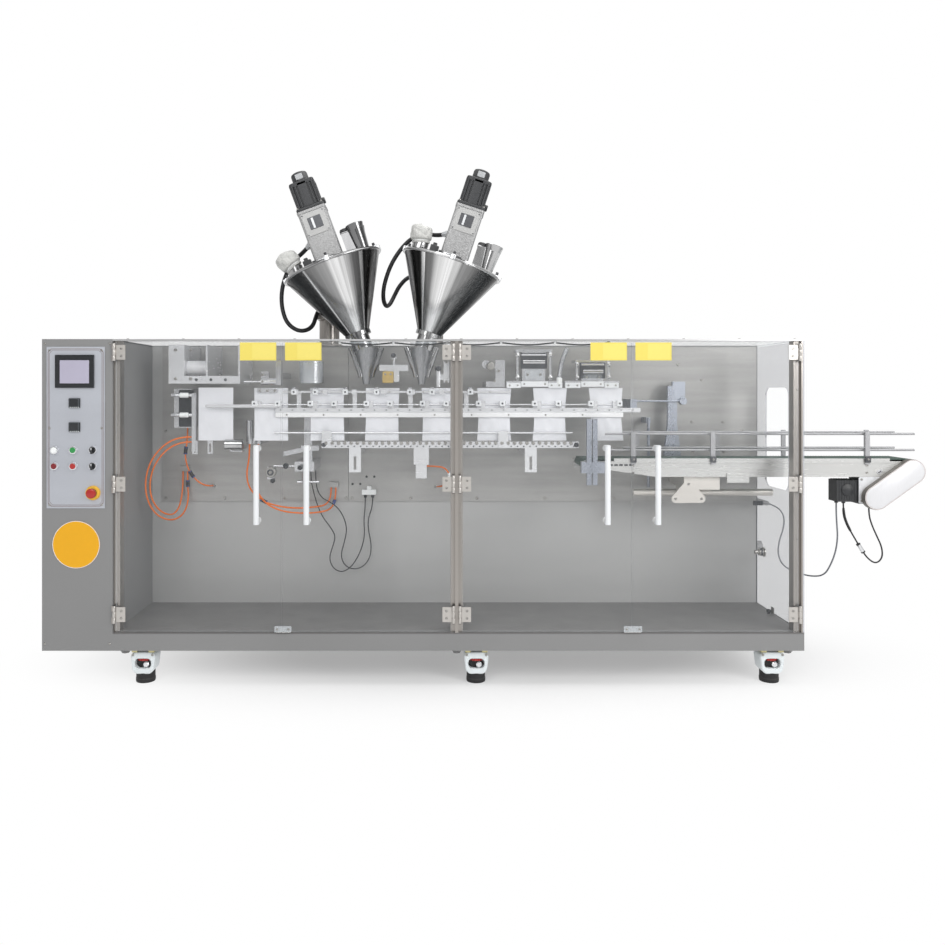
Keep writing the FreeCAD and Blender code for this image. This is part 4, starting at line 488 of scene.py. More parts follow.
    # polished_steel: the wide wander from dark grey to light grey, stretched along z, paints vertical
    # reflection bands into the colour over the steel's own grain
    finish("polished_steel", linear(196, 196, 196), 0.13, 1.0, grain=5, fine=0.4, change=0.2,
           dark=linear(120, 120, 121), stretch=(1, 1, 0.12), rough_change=0.05)
    for k in HOPPERS:
        cone_painted_reflections(k)
    finish("fitting_steel", linear(196, 192, 187), 0.34, 0.7, grain=90, change=0.06)
    white_handles(finishes["fitting_steel"])


def cone_painted_reflections(k):
    """Painted reflection bands that run down a hopper's skin: a ramp of wide light and dark
    bands on the angle round its axis, which is the first number of the piece's own map,
    paints the room's reflection into the base colour. Fine noise makes the bands wander and
    draws thin streaks of painted reflection."""
    material = finish(f"hopper_steel_{k}", linear(190, 190, 190), 0.2, 1.0, grain=5, fine=0.5,
                      change=0.1, rough_change=0.06)
    nodes, links = material.node_tree.nodes, material.node_tree.links
    shader = nodes["Principled BSDF"]
    place = nodes.new("ShaderNodeUVMap")
    place.uv_map = "around"
    split = nodes.new("ShaderNodeSeparateXYZ")
    mapping = nodes.new("ShaderNodeMapping")
    mapping.inputs["Scale"].default_value = (46, 0.5, 1)
    streaks = nodes.new("ShaderNodeTexNoise")
    streaks.inputs["Scale"].default_value = 1.0
    streaks.inputs["Detail"].default_value = 3
    wander = nodes.new("ShaderNodeMath")
    wander.operation = "MULTIPLY_ADD"
    wander.inputs[1].default_value = 0.05
    # the ramp's light and dark levels are painted reflection in the base colour
    ramp = nodes.new("ShaderNodeValToRGB")
    stops = PAINTED_REFLECTION_BANDS[k]
    for element, (_, level) in zip(ramp.color_ramp.elements, (stops[0], stops[-1])):
        element.color = (*linear(level, level, level), 1)
    for position, level in stops[1:-1]:
        ramp.color_ramp.elements.new(position).color = (*linear(level, level, level), 1)
    # the noise also lightens and darkens the colour: thin painted reflection streaks
    gain = nodes.new("ShaderNodeMapRange")
    gain.inputs["From Min"].default_value = 0.3
    gain.inputs["From Max"].default_value = 0.7
    gain.inputs["To Min"].default_value = 0.78
    gain.inputs["To Max"].default_value = 1.12
    shade = nodes.new("ShaderNodeVectorMath")
    shade.operation = "SCALE"
    links.new(place.outputs["UV"], split.inputs[0])
    links.new(place.outputs["UV"], mapping.inputs["Vector"])
    links.new(mapping.outputs["Vector"], streaks.inputs["Vector"])
    links.new(streaks.outputs["Fac"], wander.inputs[0])
    links.new(split.outputs["X"], wander.inputs[2])
    links.new(wander.outputs[0], ramp.inputs["Fac"])
    links.new(streaks.outputs["Fac"], gain.inputs["Value"])
    links.new(ramp.outputs["Color"], shade.inputs[0])
    links.new(gain.outputs["Result"], shade.inputs["Scale"])
    links.new(shade.outputs[0], shader.inputs["Base Color"])


# Painted reflection bands of each hopper: share of the half turn from its right to its left, and level
PAINTED_REFLECTION_BANDS = {
    1: ((0.0, 150), (0.07, 170), (0.2, 150), (0.222, 62), (0.275, 58), (0.284, 200),
        (0.3, 200), (0.308, 84), (0.36, 104), (0.39, 150), (0.42, 190), (0.465, 245),
        (0.52, 232), (0.545, 165), (0.63, 132), (0.69, 112), (0.697, 225), (0.708, 225),
        (0.716, 92), (0.8, 62), (0.88, 98), (0.95, 62), (1.0, 100)),
    2: ((0.0, 160), (0.1, 116), (0.22, 74), (0.32, 100), (0.35, 116), (0.44, 145), (0.475, 212),
        (0.545, 245), (0.62, 205), (0.655, 126), (0.71, 100), (0.722, 232), (0.738, 232),
        (0.748, 74), (0.82, 54), (0.846, 66), (0.864, 190), (0.92, 200), (0.94, 96), (1.0, 170)),
}


NODE_FINISHES = {
    "cabinet_paint": ("base_frame", "control_cabinet"),
    "floor_paint": ("interior_floor",), "wall_steel": ("back_plates",),
    "post_steel": ("door_posts",), "top_steel": ("top_rail",),
    "cover_acrylic": ("top_cover",), "side_acrylic": ("side_panel",),
    "clear_acrylic": tuple(f"door_{k}_panel" for k in DOORS),
    "fitting_steel": tuple(f"door_{k}_fittings" for k in DOORS),
    "panel_plate": ("control_panel",), "black_gloss": ("touch_screen", "panel_controls"), "housing_paint": ("drive_housing",),
    "badge_yellow": ("round_badge",), "caster_white": ("caster_housings",),
    "rubber_black": ("caster_feet",),
    "polished_steel": ("hopper_1", "hopper_2", "hopper_lids", "discharge_heads"),
    "bag_cloth": ("inlet_bags",), "hammered_grey": ("hopper_drives",),
    "top_steel_columns": ("hopper_columns",),
    "rail_steel": ("pouch_rail", "roller_rail", "rail_supports", "pouch_clamps",
                   "film_unwind", "filling_bridge"),
    "block_steel": ("pouch_former", "opening_station", "lower_station", "sealing_heads"),
    "lever_blue": ("lever_linkage",), "film_white": ("pouches",),
    "conveyor_steel": ("conveyor_frame",), "guide_steel": ("conveyor_guides",),
    "guard_steel": ("chain_guard",),
    "support_steel": ("conveyor_support",), "belt_green": ("conveyor_belt",),
    "motor_black": ("conveyor_motor",),
}


def white_handles(material):
    """Paint the door handles: what stands further out than the hinge pins is white, by a
    step on the depth."""
    nodes, links = material.node_tree.nodes, material.node_tree.links
    shader = nodes["Principled BSDF"]
    place = nodes.new("ShaderNodeTexCoord")
    split = nodes.new("ShaderNodeSeparateXYZ")
    step = nodes.new("ShaderNodeMath")
    step.operation = "LESS_THAN"
    step.inputs[1].default_value = FRONT - 0.0125
    paint = nodes.new("ShaderNodeMix")
    paint.data_type = "RGBA"
    paint.inputs["B"].default_value = (*linear(226, 228, 230), 1)
    bare = nodes.new("ShaderNodeMath")
    bare.operation = "MULTIPLY_ADD"
    bare.inputs[1].default_value = -0.7
    bare.inputs[2].default_value = 0.7
    links.new(place.outputs["Object"], split.inputs[0])
    links.new(split.outputs["Y"], step.inputs[0])
    links.new(step.outputs[0], paint.inputs["Factor"])
    links.new(shader.inputs["Base Color"].links[0].from_socket, paint.inputs["A"])
    links.new(paint.outputs["Result"], shader.inputs["Base Color"])
    links.new(step.outputs[0], bare.inputs[0])
    links.new(bare.outputs[0], shader.inputs["Metallic"])


def dress_nodes():
    """Give each solid of the machine its finish."""
    for name, nodes in NODE_FINISHES.items():
        name = "post_steel" if name == "top_steel_columns" else name
        for node in nodes:
            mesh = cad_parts[node].data
            mesh.materials.clear()
            mesh.materials.append(finishes[name])


# Free hoses and cables: finish, thickness, real length, stiffness, and the points of each
# route as (x, depth, z).
CORDS = {
    "hopper_hose_1": ("hose_black", 0.02, 0.741, "medium", [
        (1.0817, 0.318, 1.9165), (1.056, 0.346, 1.896), (1.01, 0.352, 1.862),
        (0.974, 0.35, 1.79), (0.956, 0.348, 1.712), (0.96, 0.346, 1.634), (0.984, 0.35, 1.566),
        (1.04, 0.364, 1.53), (1.096, 0.397, 1.552), (1.112, 0.424, 1.626), (1.134, 0.48, 1.67),
        (1.147, 0.533, 1.676)]),
    "hopper_hose_2": ("hose_black", 0.02, 0.971, "medium", [
        (1.7094, 0.318, 1.9772), (1.677, 0.346, 1.978), (1.63, 0.355, 1.99),
        (1.578, 0.355, 1.978), (1.522, 0.355, 1.93), (1.468, 0.355, 1.85),
        (1.435, 0.355, 1.755), (1.428, 0.372, 1.69), (1.438, 0.425, 1.655),
        (1.455, 0.48, 1.668), (1.476, 0.514, 1.716), (1.5, 0.52, 1.766), (1.545, 0.532, 1.814),
        (1.606, 0.562, 1.822), (1.648, 0.588, 1.778), (1.664, 0.6, 1.716)]),
    "motor_lead": ("cord_black", 0.007, 0.597, "limp", [
        (3.515, 0.225, 0.749), (3.515, 0.225, 0.7), (3.532, 0.224, 0.65), (3.56, 0.222, 0.598),
        (3.59, 0.219, 0.546), (3.62, 0.217, 0.5), (3.656, 0.214, 0.476), (3.686, 0.214, 0.502),
        (3.684, 0.214, 0.55), (3.662, 0.216, 0.6), (3.642, 0.22, 0.648), (3.63, 0.225, 0.694),
        (3.63, 0.225, 0.739)]),
    "machine_cable": ("cord_grey", 0.007, 0.909, "medium", [
        (3.3, 0.54, 0.705), (3.345, 0.536, 0.692), (3.374, 0.522, 0.645), (3.362, 0.508, 0.585),
        (3.335, 0.495, 0.528), (3.324, 0.482, 0.465), (3.342, 0.462, 0.415),
        (3.39, 0.425, 0.392), (3.44, 0.375, 0.384), (3.474, 0.32, 0.402), (3.486, 0.28, 0.462),
        (3.498, 0.26, 0.525), (3.502, 0.25, 0.592), (3.494, 0.243, 0.655), (3.49, 0.24, 0.705),
        (3.49, 0.24, 0.749)]),
    "air_hose_1": ("hose_orange", 0.008, 0.88, "medium", [
        (0.569, 0.25, 1.046), (0.505, 0.25, 1.046), (0.425, 0.262, 1.002),
        (0.365, 0.274, 0.925), (0.342, 0.282, 0.83), (0.35, 0.296, 0.745),
        (0.385, 0.325, 0.675), (0.44, 0.37, 0.645), (0.48, 0.425, 0.668), (0.489, 0.475, 0.73),
        (0.476, 0.501, 0.802), (0.476, 0.501, 0.868)]),
    "air_hose_2": ("hose_orange", 0.008, 0.78, "medium", [
        (0.569, 0.256, 1.023), (0.51, 0.256, 1.023), (0.437, 0.264, 0.98),
        (0.384, 0.279, 0.912), (0.36, 0.29, 0.83), (0.366, 0.305, 0.752), (0.398, 0.335, 0.692),
        (0.436, 0.388, 0.668), (0.452, 0.44, 0.694), (0.454, 0.482, 0.748),
        (0.454, 0.501, 0.812), (0.454, 0.501, 0.868)]),
    "air_hose_3": ("hose_orange", 0.008, 0.377, "medium", [
        (0.505, 0.4, 1.086), (0.505, 0.4, 1.024), (0.49, 0.404, 0.955), (0.502, 0.412, 0.885),
        (0.54, 0.424, 0.828), (0.582, 0.446, 0.8), (0.598, 0.498, 0.797)]),
    "air_hose_4": ("hose_orange", 0.008, 0.71, "medium", [
        (0.81, 0.34, 1.009), (0.81, 0.34, 0.945), (0.795, 0.338, 0.872), (0.808, 0.338, 0.8),
        (0.868, 0.342, 0.742), (0.95, 0.352, 0.714), (1.036, 0.376, 0.704),
        (1.104, 0.424, 0.704), (1.15, 0.474, 0.706), (1.171, 0.501, 0.744),
        (1.171, 0.501, 0.79)]),
    "air_hose_5": ("hose_orange", 0.008, 0.741, "medium", [
        (0.852, 0.34, 1.009), (0.852, 0.34, 0.948), (0.836, 0.328, 0.876), (0.84, 0.324, 0.8),
        (0.888, 0.328, 0.73), (0.962, 0.34, 0.694), (1.05, 0.364, 0.682), (1.126, 0.41, 0.68),
        (1.176, 0.462, 0.688), (1.193, 0.501, 0.734), (1.193, 0.501, 0.79)]),
    "air_hose_6": ("hose_orange", 0.008, 0.262, "medium", [
        (1.6345, 0.4, 0.9), (1.676, 0.4, 0.9), (1.722, 0.404, 0.892), (1.746, 0.418, 0.852),
        (1.734, 0.44, 0.812), (1.7, 0.466, 0.796), (1.684, 0.502, 0.792)]),
    "sensor_cable_1": ("cord_black", 0.005, 1.001, "limp", [
        (1.1, 0.47, 0.886), (1.1, 0.47, 0.838), (1.108, 0.452, 0.786), (1.132, 0.438, 0.746),
        (1.174, 0.434, 0.726), (1.212, 0.44, 0.696), (1.238, 0.458, 0.648), (1.25, 0.476, 0.59),
        (1.236, 0.488, 0.525), (1.218, 0.488, 0.465), (1.234, 0.488, 0.415),
        (1.28, 0.488, 0.392), (1.33, 0.488, 0.408), (1.362, 0.488, 0.455), (1.366, 0.488, 0.52),
        (1.352, 0.488, 0.58), (1.35, 0.488, 0.64), (1.372, 0.5, 0.698), (1.372, 0.5, 0.754)]),
    "sensor_cable_2": ("cord_black", 0.005, 0.972, "limp", [
        (1.078, 0.462, 0.886), (1.078, 0.462, 0.832), (1.09, 0.468, 0.77),
        (1.108, 0.468, 0.708), (1.134, 0.47, 0.648), (1.17, 0.472, 0.602),
        (1.196, 0.472, 0.558), (1.182, 0.472, 0.508), (1.164, 0.472, 0.455),
        (1.18, 0.472, 0.406), (1.222, 0.472, 0.382), (1.266, 0.472, 0.404), (1.3, 0.472, 0.452),
        (1.324, 0.472, 0.508), (1.336, 0.473, 0.57), (1.33, 0.478, 0.634), (1.336, 0.5, 0.696),
        (1.336, 0.5, 0.754)]),
}


# Hoses and cables

laid = {}


def make_cord(label):
    finish_name, thickness, length, stiffness, route = CORDS[label]
    curve = bpy.data.curves.new(label, "CURVE")
    curve.dimensions = "3D"
    curve.resolution_u = 10
    spline = curve.splines.new("NURBS")
    spline.points.add(len(route) - 1)
    for point, place in zip(spline.points, route):
        point.co = (*at(*place), 1)
    spline.order_u = 3
    spline.use_endpoint_u = True
    curve.bevel_depth = thickness / 2
    curve.bevel_resolution = 3
    curve.use_fill_caps = True
    curve.materials.append(finishes[finish_name])
    cord = laid[label] = bpy.data.objects.new(f"{label}_tube", curve)
    bpy.context.scene.collection.objects.link(cord)
    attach(cord, "machine")
    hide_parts(label)
    sleeves = [cord_sleeve(label, number, *sleeve)
               for number, sleeve in enumerate(SLEEVES.get(label, ()), 1)]


# Sleeves and push-in joints on the cords: share of the length, length, radius, finish and
# the finish of the two collars, or None
SLEEVES = {
    "air_hose_1": ((0.93, 0.030, 0.0085, "hose_black", "connector_blue"),),
    "air_hose_3": ((0.30, 0.034, 0.0085, "hose_black", "connector_blue"),
                   (0.62, 0.034, 0.0085, "hose_black", "connector_blue")),
    "air_hose_4": ((0.42, 0.030, 0.0085, "hose_black", "connector_blue"),),
    "air_hose_5": ((0.90, 0.024, 0.0082, "connector_blue", None),),
    "air_hose_6": ((0.50, 0.030, 0.0080, "white_plastic_and_highlight", None),),
    "motor_lead": ((0.13, 0.110, 0.0058, "rubber_black", None),
                   (0.37, 0.046, 0.0085, "chrome_ring", "rubber_black")),
}


def spline_points(label):
    """The points of a cord's own smooth line, read from its curve without its skin."""
    curve = laid[label].data.copy()
    curve.bevel_depth = 0.0
    bare = bpy.data.objects.new("bare_line", curve)
    mesh = bpy.data.meshes.new_from_object(bare)
    line = np.zeros(len(mesh.vertices) * 3)
    mesh.vertices.foreach_get("co", line)
    bpy.data.objects.remove(bare)
    bpy.data.curves.remove(curve)
    bpy.data.meshes.remove(mesh)
    return line.reshape(-1, 3)


def cord_sleeve(label, number, share, length, radius, finish_name, collar):
    """A sleeve round a stretch of a cord: a round section along the cord's line whose ends
    draw in, with a raised collar at both ends."""
    line = spline_points(label)
    run = np.concatenate([[0], np.cumsum(np.linalg.norm(np.diff(line, axis=0), axis=1))])
    places = run[-1] * share + np.linspace(-length / 2, length / 2, 9)
    path = np.stack([np.interp(places, run, line[:, c]) for c in range(3)], 1)
    shape = Shape().add(piped(path, np.array([0.8] + [1] * 7 + [0.8]) * radius, 16),
                        finish_name)
    if collar:
        for end in (path[:2], path[-2:]):
            way = (end[1] - end[0]) / np.linalg.norm(end[1] - end[0])
            shape.add(turned(end.mean(0) - way * 0.003, way,
                             [(0, radius * 1.12), (0.005, radius * 1.12), (0.006, radius)], 16),
                      collar)
    return shape.build(f"{label}_sleeve_{number}", slot="hose_black")


# Pieces of the front

def panel_details():
    """The control panel: a printed double border with cut corners, framed dials, ringed
    caps, a display in its black bezel and screws. Caps are lathe shapes along the depth."""
    shape = Shape()
    face = -0.003
    for grow, width in ((0.0, 0.0024), (0.006, 0.0012)):
        low, high = (0.0265 + grow, 0.764 + grow), (0.2625 - grow, 1.434 - grow)
        outer = chamfered(low[0], high[0], low[1], high[1], 0.014)
        inner = chamfered(low[0] + width, high[0] - width, low[1] + width, high[1] - width,
                          0.0135)
        shape.add(moved(pierced(outer, inner, face - 0.0006, face + 0.0004)), "panel_line")
    for x in (0.0335, 0.2555):
        for z in (0.771, 1.0965, 1.427):
            add_screw(shape, (x, face, z), (0, -1, 0), 0.005)
    shape.add(placed_slab((0.0805, -0.0122, 1.2865), (0.2045, -0.0109, 1.3845), 0.002), "display")
    for z in (1.101, 1.203):
        shape.add(placed_slab((0.1175, -0.0128, z - 0.0205), (0.1625, -0.0078, z + 0.0205), 0.003),
                  "dial_face")
        shape.add(placed_slab((0.1225, -0.0134, z - 0.0145), (0.1575, -0.0125, z + 0.0165), 0.002),
                  "black_gloss")
        for x in np.arange(0.1235, 0.158, 0.0085):
            shape.add(placed_slab((x, -0.0131, z - 0.0195), (x + 0.0045, -0.0125, z - 0.0168),
                                  0.0008, 0.0002), "white_plastic_and_highlight")
    caps = {(0, 1): "white_plastic_and_highlight", (1, 1): "green_cap", (0, 0): "dark_red_cap",
            (1, 0): "red_cap"}
    for i, x in enumerate((0.0565, 0.1365, 0.2205)):
        for j, z in enumerate((0.9355, 1.0035)):
            shape.add(lathe((x, -0.003, z), (0, -1, 0),
                            [(0, 0.0175), (0.004, 0.0175), (0.006, 0.0162), (0.0123, 0.0162),
                             (0.0125, 0.0152)]), "chrome_ring")
            if i < 2:
                shape.add(lathe((x, -0.0151, z), (0, -1, 0),
                                [(0, 0.0122), (0.003, 0.0122), (0.005, 0.0105)]),
                          caps[i, j])
            else:
                shape.add(lathe((x, -0.0151, z), (0, -1, 0),
                                [(0, 0.0138), (0.002, 0.0138), (0.003, 0.0126)]), "black_gloss")
                shape.add(placed_slab((x - 0.0042, -0.031, z - 0.0125),
                                      (x + 0.0042, -0.0155, z + 0.0125), 0.003), "black_gloss")
                # the thin white strip on the selector's lever is a painted highlight
                shape.add(placed_slab((x - 0.0012, -0.0316, z + 0.002),
                                      (x + 0.0012, -0.0308, z + 0.0118), 0.0005),
                          "white_plastic_and_highlight")
    stop = (0.219, -0.003, 0.8215)
    shape.add(lathe(stop, (0, -1, 0), [(0, 0.031), (0.004, 0.031), (0.0123, 0.0285),
                                       (0.0125, 0.0275)]), "stop_yellow")
    shape.add(lathe((0.219, -0.0153, 0.8215), (0, -1, 0),
                    [(0, 0.0125), (0.006, 0.013), (0.008, 0.0205), (0.013, 0.0212),
                     (0.0185, 0.0195), (0.0207, 0.014)]), "red_cap")
    shape.add(turned_ring((0.146, -0.002, 0.6015), 0.1003, 0.0985, 0.0008), "white_plastic_and_highlight")
    shape.build("panel_details", slot="controls")


def chamfered(x0, x1, z0, z1, cut):
    """A rectangle with cut corners, as an outline."""
    return np.array([(x1, z0 + cut), (x1, z1 - cut), (x1 - cut, z1), (x0 + cut, z1),
                     (x0, z1 - cut), (x0, z0 + cut), (x0 + cut, z0), (x1 - cut, z0)])


def moved(surface):
    """Shift a surface given in machine places to the shared frame."""
    points, faces = surface
    return points + at(0, 0, 0), faces


def placed_slab(low, high, radius=0.004, ease=0.0015, axis="Y"):
    """A slab given in machine places."""
    return slab(at(*low), at(*high), radius, ease, axis)


def lathe(start, axis, profile, sides=32):
    """A lathe shape given in machine places."""
    return turned(at(*start), axis, profile, sides)


def turned_ring(centre, outer, inner, height, sides=64):
    """A flat ring that faces the front."""
    angle = np.linspace(0, FULL_TURN, sides, endpoint=False)
    circle = np.stack([np.cos(angle), np.sin(angle)], 1)
    middle = np.array([centre[0], centre[2]])
    return moved(pierced(middle + outer * circle, middle + inner * circle,
                         centre[1] - height, centre[1] + height / 2))


def add_screw(shape, place, axis, radius=0.005, metal="screw_steel"):
    """A socket screw: a low rim round a hollow, turned along its axis."""
    shape.add(lathe(place, axis,
                    [(0, radius), (0.45 * radius, radius), (0.62 * radius, 0.82 * radius),
                     (0.62 * radius, 0.46 * radius), (0.3 * radius, 0.4 * radius)], 16), metal)


def door_details(k):
    """The bare plate, hinge knuckles, hinge screws and handle rosettes of one door; they are parented
    to the door's own empty.
    """
    shape = Shape()
    plates = {1: (0.841, 0.996), 2: (1.033, 1.188), 3: (2.331, 2.486), 4: (2.522, 2.676)}
    x0, x1 = plates[k]
    shape.add(placed_slab((x0, -0.0011, 1.384), (x1, 0.0002, 1.4605), 0.002, 0.0003),
              "label_yellow")
    shape.add(placed_slab((x0 + 0.052, -0.0016, 1.390), (x1 - 0.006, -0.0009, 1.4545), 0.001,
                          0.0002), "label_pale")
    pin = {1: 0.308, 2: 1.749, 3: 1.7765, 4: 3.221}[k]
    side = {1: 1, 2: -1, 3: 1, 4: -1}[k]
    for z in (0.273, 0.827, 1.387):
        shape.add(lathe((pin, -0.006, z + 0.0200), (0, 0, 1),
                        [(0, 0.0058), (0.0015, 0.0068), (0.0215, 0.0068), (0.023, 0.0058)], 24),
                  "leaf_steel")
        for rise in (0.016, 0.047):
            add_screw(shape, (pin + side * 0.030, -0.003, z + rise), (0, -1, 0), 0.0055)
    handle = {1: 0.918, 2: 1.129, 3: 2.397, 4: 2.609}[k]
    for z in (0.706, 1.011):
        shape.add(lathe((handle, -0.0002, z), (0, -1, 0),
                        [(0, 0.0145), (0.002, 0.0145), (0.003, 0.0128)]),
                  "handle_white")
    shape.build(f"door_{k}_details", body=f"door_{k}", slot="door_hardware")


def door_latches():
    """Clear latch blocks under the doors' free corners."""
    shape = Shape()
    for x0, x1 in ((0.990, 1.062), (2.470, 2.548)):
        shape.add(placed_slab((x0, -0.014, 0.232), (x1, -0.0095, 0.258), 0.003), "cup_acrylic")
        shape.add(placed_slab((x0 + 0.004, -0.0095, 0.228), (x1 - 0.004, 0.006, 0.2325), 0.002,
                              axis="Z"), "screw_steel")
        for x in (x0 + 0.012, x1 - 0.012):
            add_screw(shape, (x, -0.014, 0.245), (0, -1, 0), 0.0045)
    return shape


def post_details():
    """Screws of the fixed hinge halves and posts, and the pins' domed ends."""
    shape = Shape()
    for pin, side in ((0.308, 1), (1.749, 1), (1.7765, -1), (3.221, -1)):
        for z in (0.273, 0.827, 1.387):
            for low, high in ((z - 0.0055, z + 0.0175), (z + 0.0455, z + 0.0685)):
                shape.add(lathe((pin, -0.006, low), (0, 0, 1),
                                [(0, 0.0058), (0.0015, 0.0068), (high - low - 0.0015, 0.0068),
                                 (high - low, 0.0058)], 24), "leaf_steel")
            for end, up in ((z - 0.0060, -1), (z + 0.0690, 1)):
                shape.add(lathe((pin, -0.006, end), (0, 0, up),
                                [(-0.001, 0.0050), (0.0015, 0.0050), (0.0028, 0.003)], 16),
                          "dark_steel")
    for z in (0.30, 0.62, 0.94, 1.26, 1.44):
        add_screw(shape, (1.763, 0.0140, z), (0, -1, 0), 0.005)
        add_screw(shape, (3.217, 0.0140, z), (0, -1, 0), 0.005)
    shape.build("post_details", slot="post_steel")


def wall_details():
    """Screws in a row along the wall plates and small holes."""
    shape = Shape()
    face = 0.512
    scale = lambda depth: 4.25 * (1 + depth / 3.61) / 1000
    step = scale(face)
    for px, py in ((166, 498), (225, 498), (285, 498), (346, 498), (352, 498), (411, 498),
                   (477, 498), (545, 498), (615, 498), (678, 364.5), (702, 380), (692, 422),
                   (723, 422), (742, 431), (693, 452), (724, 452), (166, 431)):
        x = 1.649 + (px - 430) * step
        z = 1.25 - (py - 392) * step
        add_screw(shape, (x, face, z), (0, -1, 0), 0.007)
    for px, py in ((366.6, 476.7), (374.3, 476.7), (352.6, 484), (360.3, 484)):
        shape.add(lathe((1.649 + (px - 430) * step, face, 1.25 - (py - 392) * step), (0, -1, 0),
                        [(0, 0.006), (0.0006, 0.006), (0.0008, 0.0052)], 16), "black_gloss")
    shape.build("wall_details", slot="wall_steel")


def caster_details():
    """Levelling casters: a white housing that narrows downward round an oval window, a dark
    wheel inside, a red thumb wheel over it, a silver bolt, a zinc plate and a rubber foot."""
    shape = Shape()
    for x in (0.417, 1.848, 3.119):
        for depth, out in ((0.075, -1), (0.925, 1)):
            outer = oblong((x - 0.0530, 0.0400), (x + 0.0530, 0.1340), 0.024, 7)
            narrow = 1 - 0.2 * np.clip((0.1340 - outer[:, 1]) / 0.0940, 0, 1) ** 1.6
            outer[:, 0] = x + (outer[:, 0] - x) * narrow
            inner = oblong((x - 0.0350, 0.0640), (x + 0.0350, 0.1060), 0.0170, 7)
            small_outer, small_inner = inset(outer, 0.004), inset(inner, -0.0025)
            shape.add(moved(loft([
                raised(small_outer, depth - 0.0420, "Y"), raised(outer, depth - 0.0380, "Y"),
                raised(outer, depth + 0.0380, "Y"), raised(small_outer, depth + 0.0420, "Y"),
                raised(small_inner, depth + 0.0420, "Y"), raised(inner, depth + 0.0400, "Y"),
                raised(inner, depth - 0.0400, "Y"), raised(small_inner, depth - 0.0420, "Y")],
                wrap=True)), "caster_white")
            shape.add(lathe((x, depth - 0.022, 0.0830), (0, 1, 0),
                            [(0, 0.025), (0.004, 0.030), (0.040, 0.030), (0.044, 0.025)], 40),
                      "rubber_black")
            shape.add(lathe((x + 0.012, depth + out * 0.0200, 0.0780), (0, out, 0),
                            [(0, 0.0125), (0.014, 0.0125), (0.017, 0.009)], 24), "chrome_ring")
            for side in (-1, 1):
                add_screw(shape, (x + side * 0.042, depth + out * 0.042, 0.1225), (0, out, 0),
                          0.0055)
            shape.add(toothed((x, depth, 0.0920), 0.0345, 0.0310, 0.0120, 18), "red_cap")
            shape.add(lathe((x, depth, 0.0195), (0, 0, 1),
                            [(0, 0.0385), (0.003, 0.034), (0.010, 0.026), (0.013, 0.014)]),
                      "rubber_black")
            shape.add(lathe((x, depth, 0.0004), (0, 0, 1),
                            [(0, 0.0385), (0.004, 0.0412), (0.016, 0.0412), (0.019, 0.0398),
                             (0.040, 0.0398), (0.046, 0.0360), (0.054, 0.0300)], 40),
                      "rubber_black")
            for side in (-1, 1):
                shape.add(placed_slab((x + side * 0.036 - 0.012, depth - 0.041, 0.132),
                                      (x + side * 0.036 + 0.012, depth + 0.041, 0.1502), 0.002,
                                      axis="Z"), "zinc_yellow")
    shape.build("caster_details", replaces=("caster_housings",), slot="caster_white")


def toothed(centre, outer, inner, height, teeth):
    """A thumb wheel: its radius swings between two values round the turn, as a cosine."""
    angle = np.linspace(0, FULL_TURN, teeth * 6, endpoint=False)
    radius = (outer + inner) / 2 + (outer - inner) / 2 * np.cos(teeth * angle)
    circle = np.stack([radius * np.cos(angle), radius * np.sin(angle)], 1)
    middle = at(*centre)
    rings = [np.column_stack([middle[0] + share * circle[:, 0], middle[1] + share * circle[:, 1],
                              np.full(len(angle), middle[2] + rise)])
             for share, rise in ((0.9, 0), (1, 0.002), (1, height - 0.002), (0.9, height))]
    return loft(rings)


# The hoppers

HOPPERS = {1: ((1.324, 0.276, 1.503), -math.radians(20.4)),
           2: ((1.640, 0.276, 1.503), math.radians(18.3))}


def hopper_skin(k):
    """A hopper's polished skin: its radius is a straight line over the height, it is thin
    and closed at both edges, and rolled rims are torus rings. Mapped round its axis."""
    origin, tilt = HOPPERS[k]
    height = np.array([0.0, 0.02, 0.12, 0.22, 0.32, 0.334, 0.341])
    radius = 0.0472 + 0.176 * height / 0.335
    radius[0] += 0.001
    outside = np.stack([height, radius], 1)
    inside = outside[::-1] - (0, 0.0022)
    profile = np.concatenate([outside, inside])
    sides = 96
    angle = np.linspace(0, FULL_TURN, sides, endpoint=False)
    rings = np.array([[(r * math.cos(a), r * math.sin(a), t) for a in angle]
                      for t, r in profile])
    surface = leaned(loft(rings, wrap=True), at(*origin), tilt)
    shape = Shape().add(surface, f"hopper_steel_{k}")
    for height, radius, thick in ((0.3395, 0.2285, 0.0052), (0.0125, 0.0495, 0.0040)):
        t = np.linspace(0, FULL_TURN, 12, endpoint=False)
        rings = np.array([[((radius + thick * math.cos(b)) * math.cos(a),
                            (radius + thick * math.cos(b)) * math.sin(a),
                            height + thick * math.sin(b)) for b in t] for a in angle])
        shape.add(leaned(loft(rings, wrap=True), at(*origin), tilt), "polished_steel")
    piece = shape.build(f"hopper_skin_{k}", slot="polished_steel")
    around = piece.data.uv_layers.new(name="around")
    corners = np.zeros(len(piece.data.loops), int)
    piece.data.loops.foreach_get("vertex_index", corners)
    places = np.zeros(len(piece.data.vertices) * 3)
    piece.data.vertices.foreach_get("co", places)
    local = (places.reshape(-1, 3) - at(*origin)) @ np.array(Matrix.Rotation(tilt, 3, "Y"))
    turn = np.arctan2(local[:, 1], local[:, 0]) / math.pi
    # the painted reflection band number runs out and back round the turn, so that it has no seam
    number = np.stack([np.abs(turn), local[:, 2] * 3], 1)
    around.data.foreach_set("uv", number[corners].ravel())


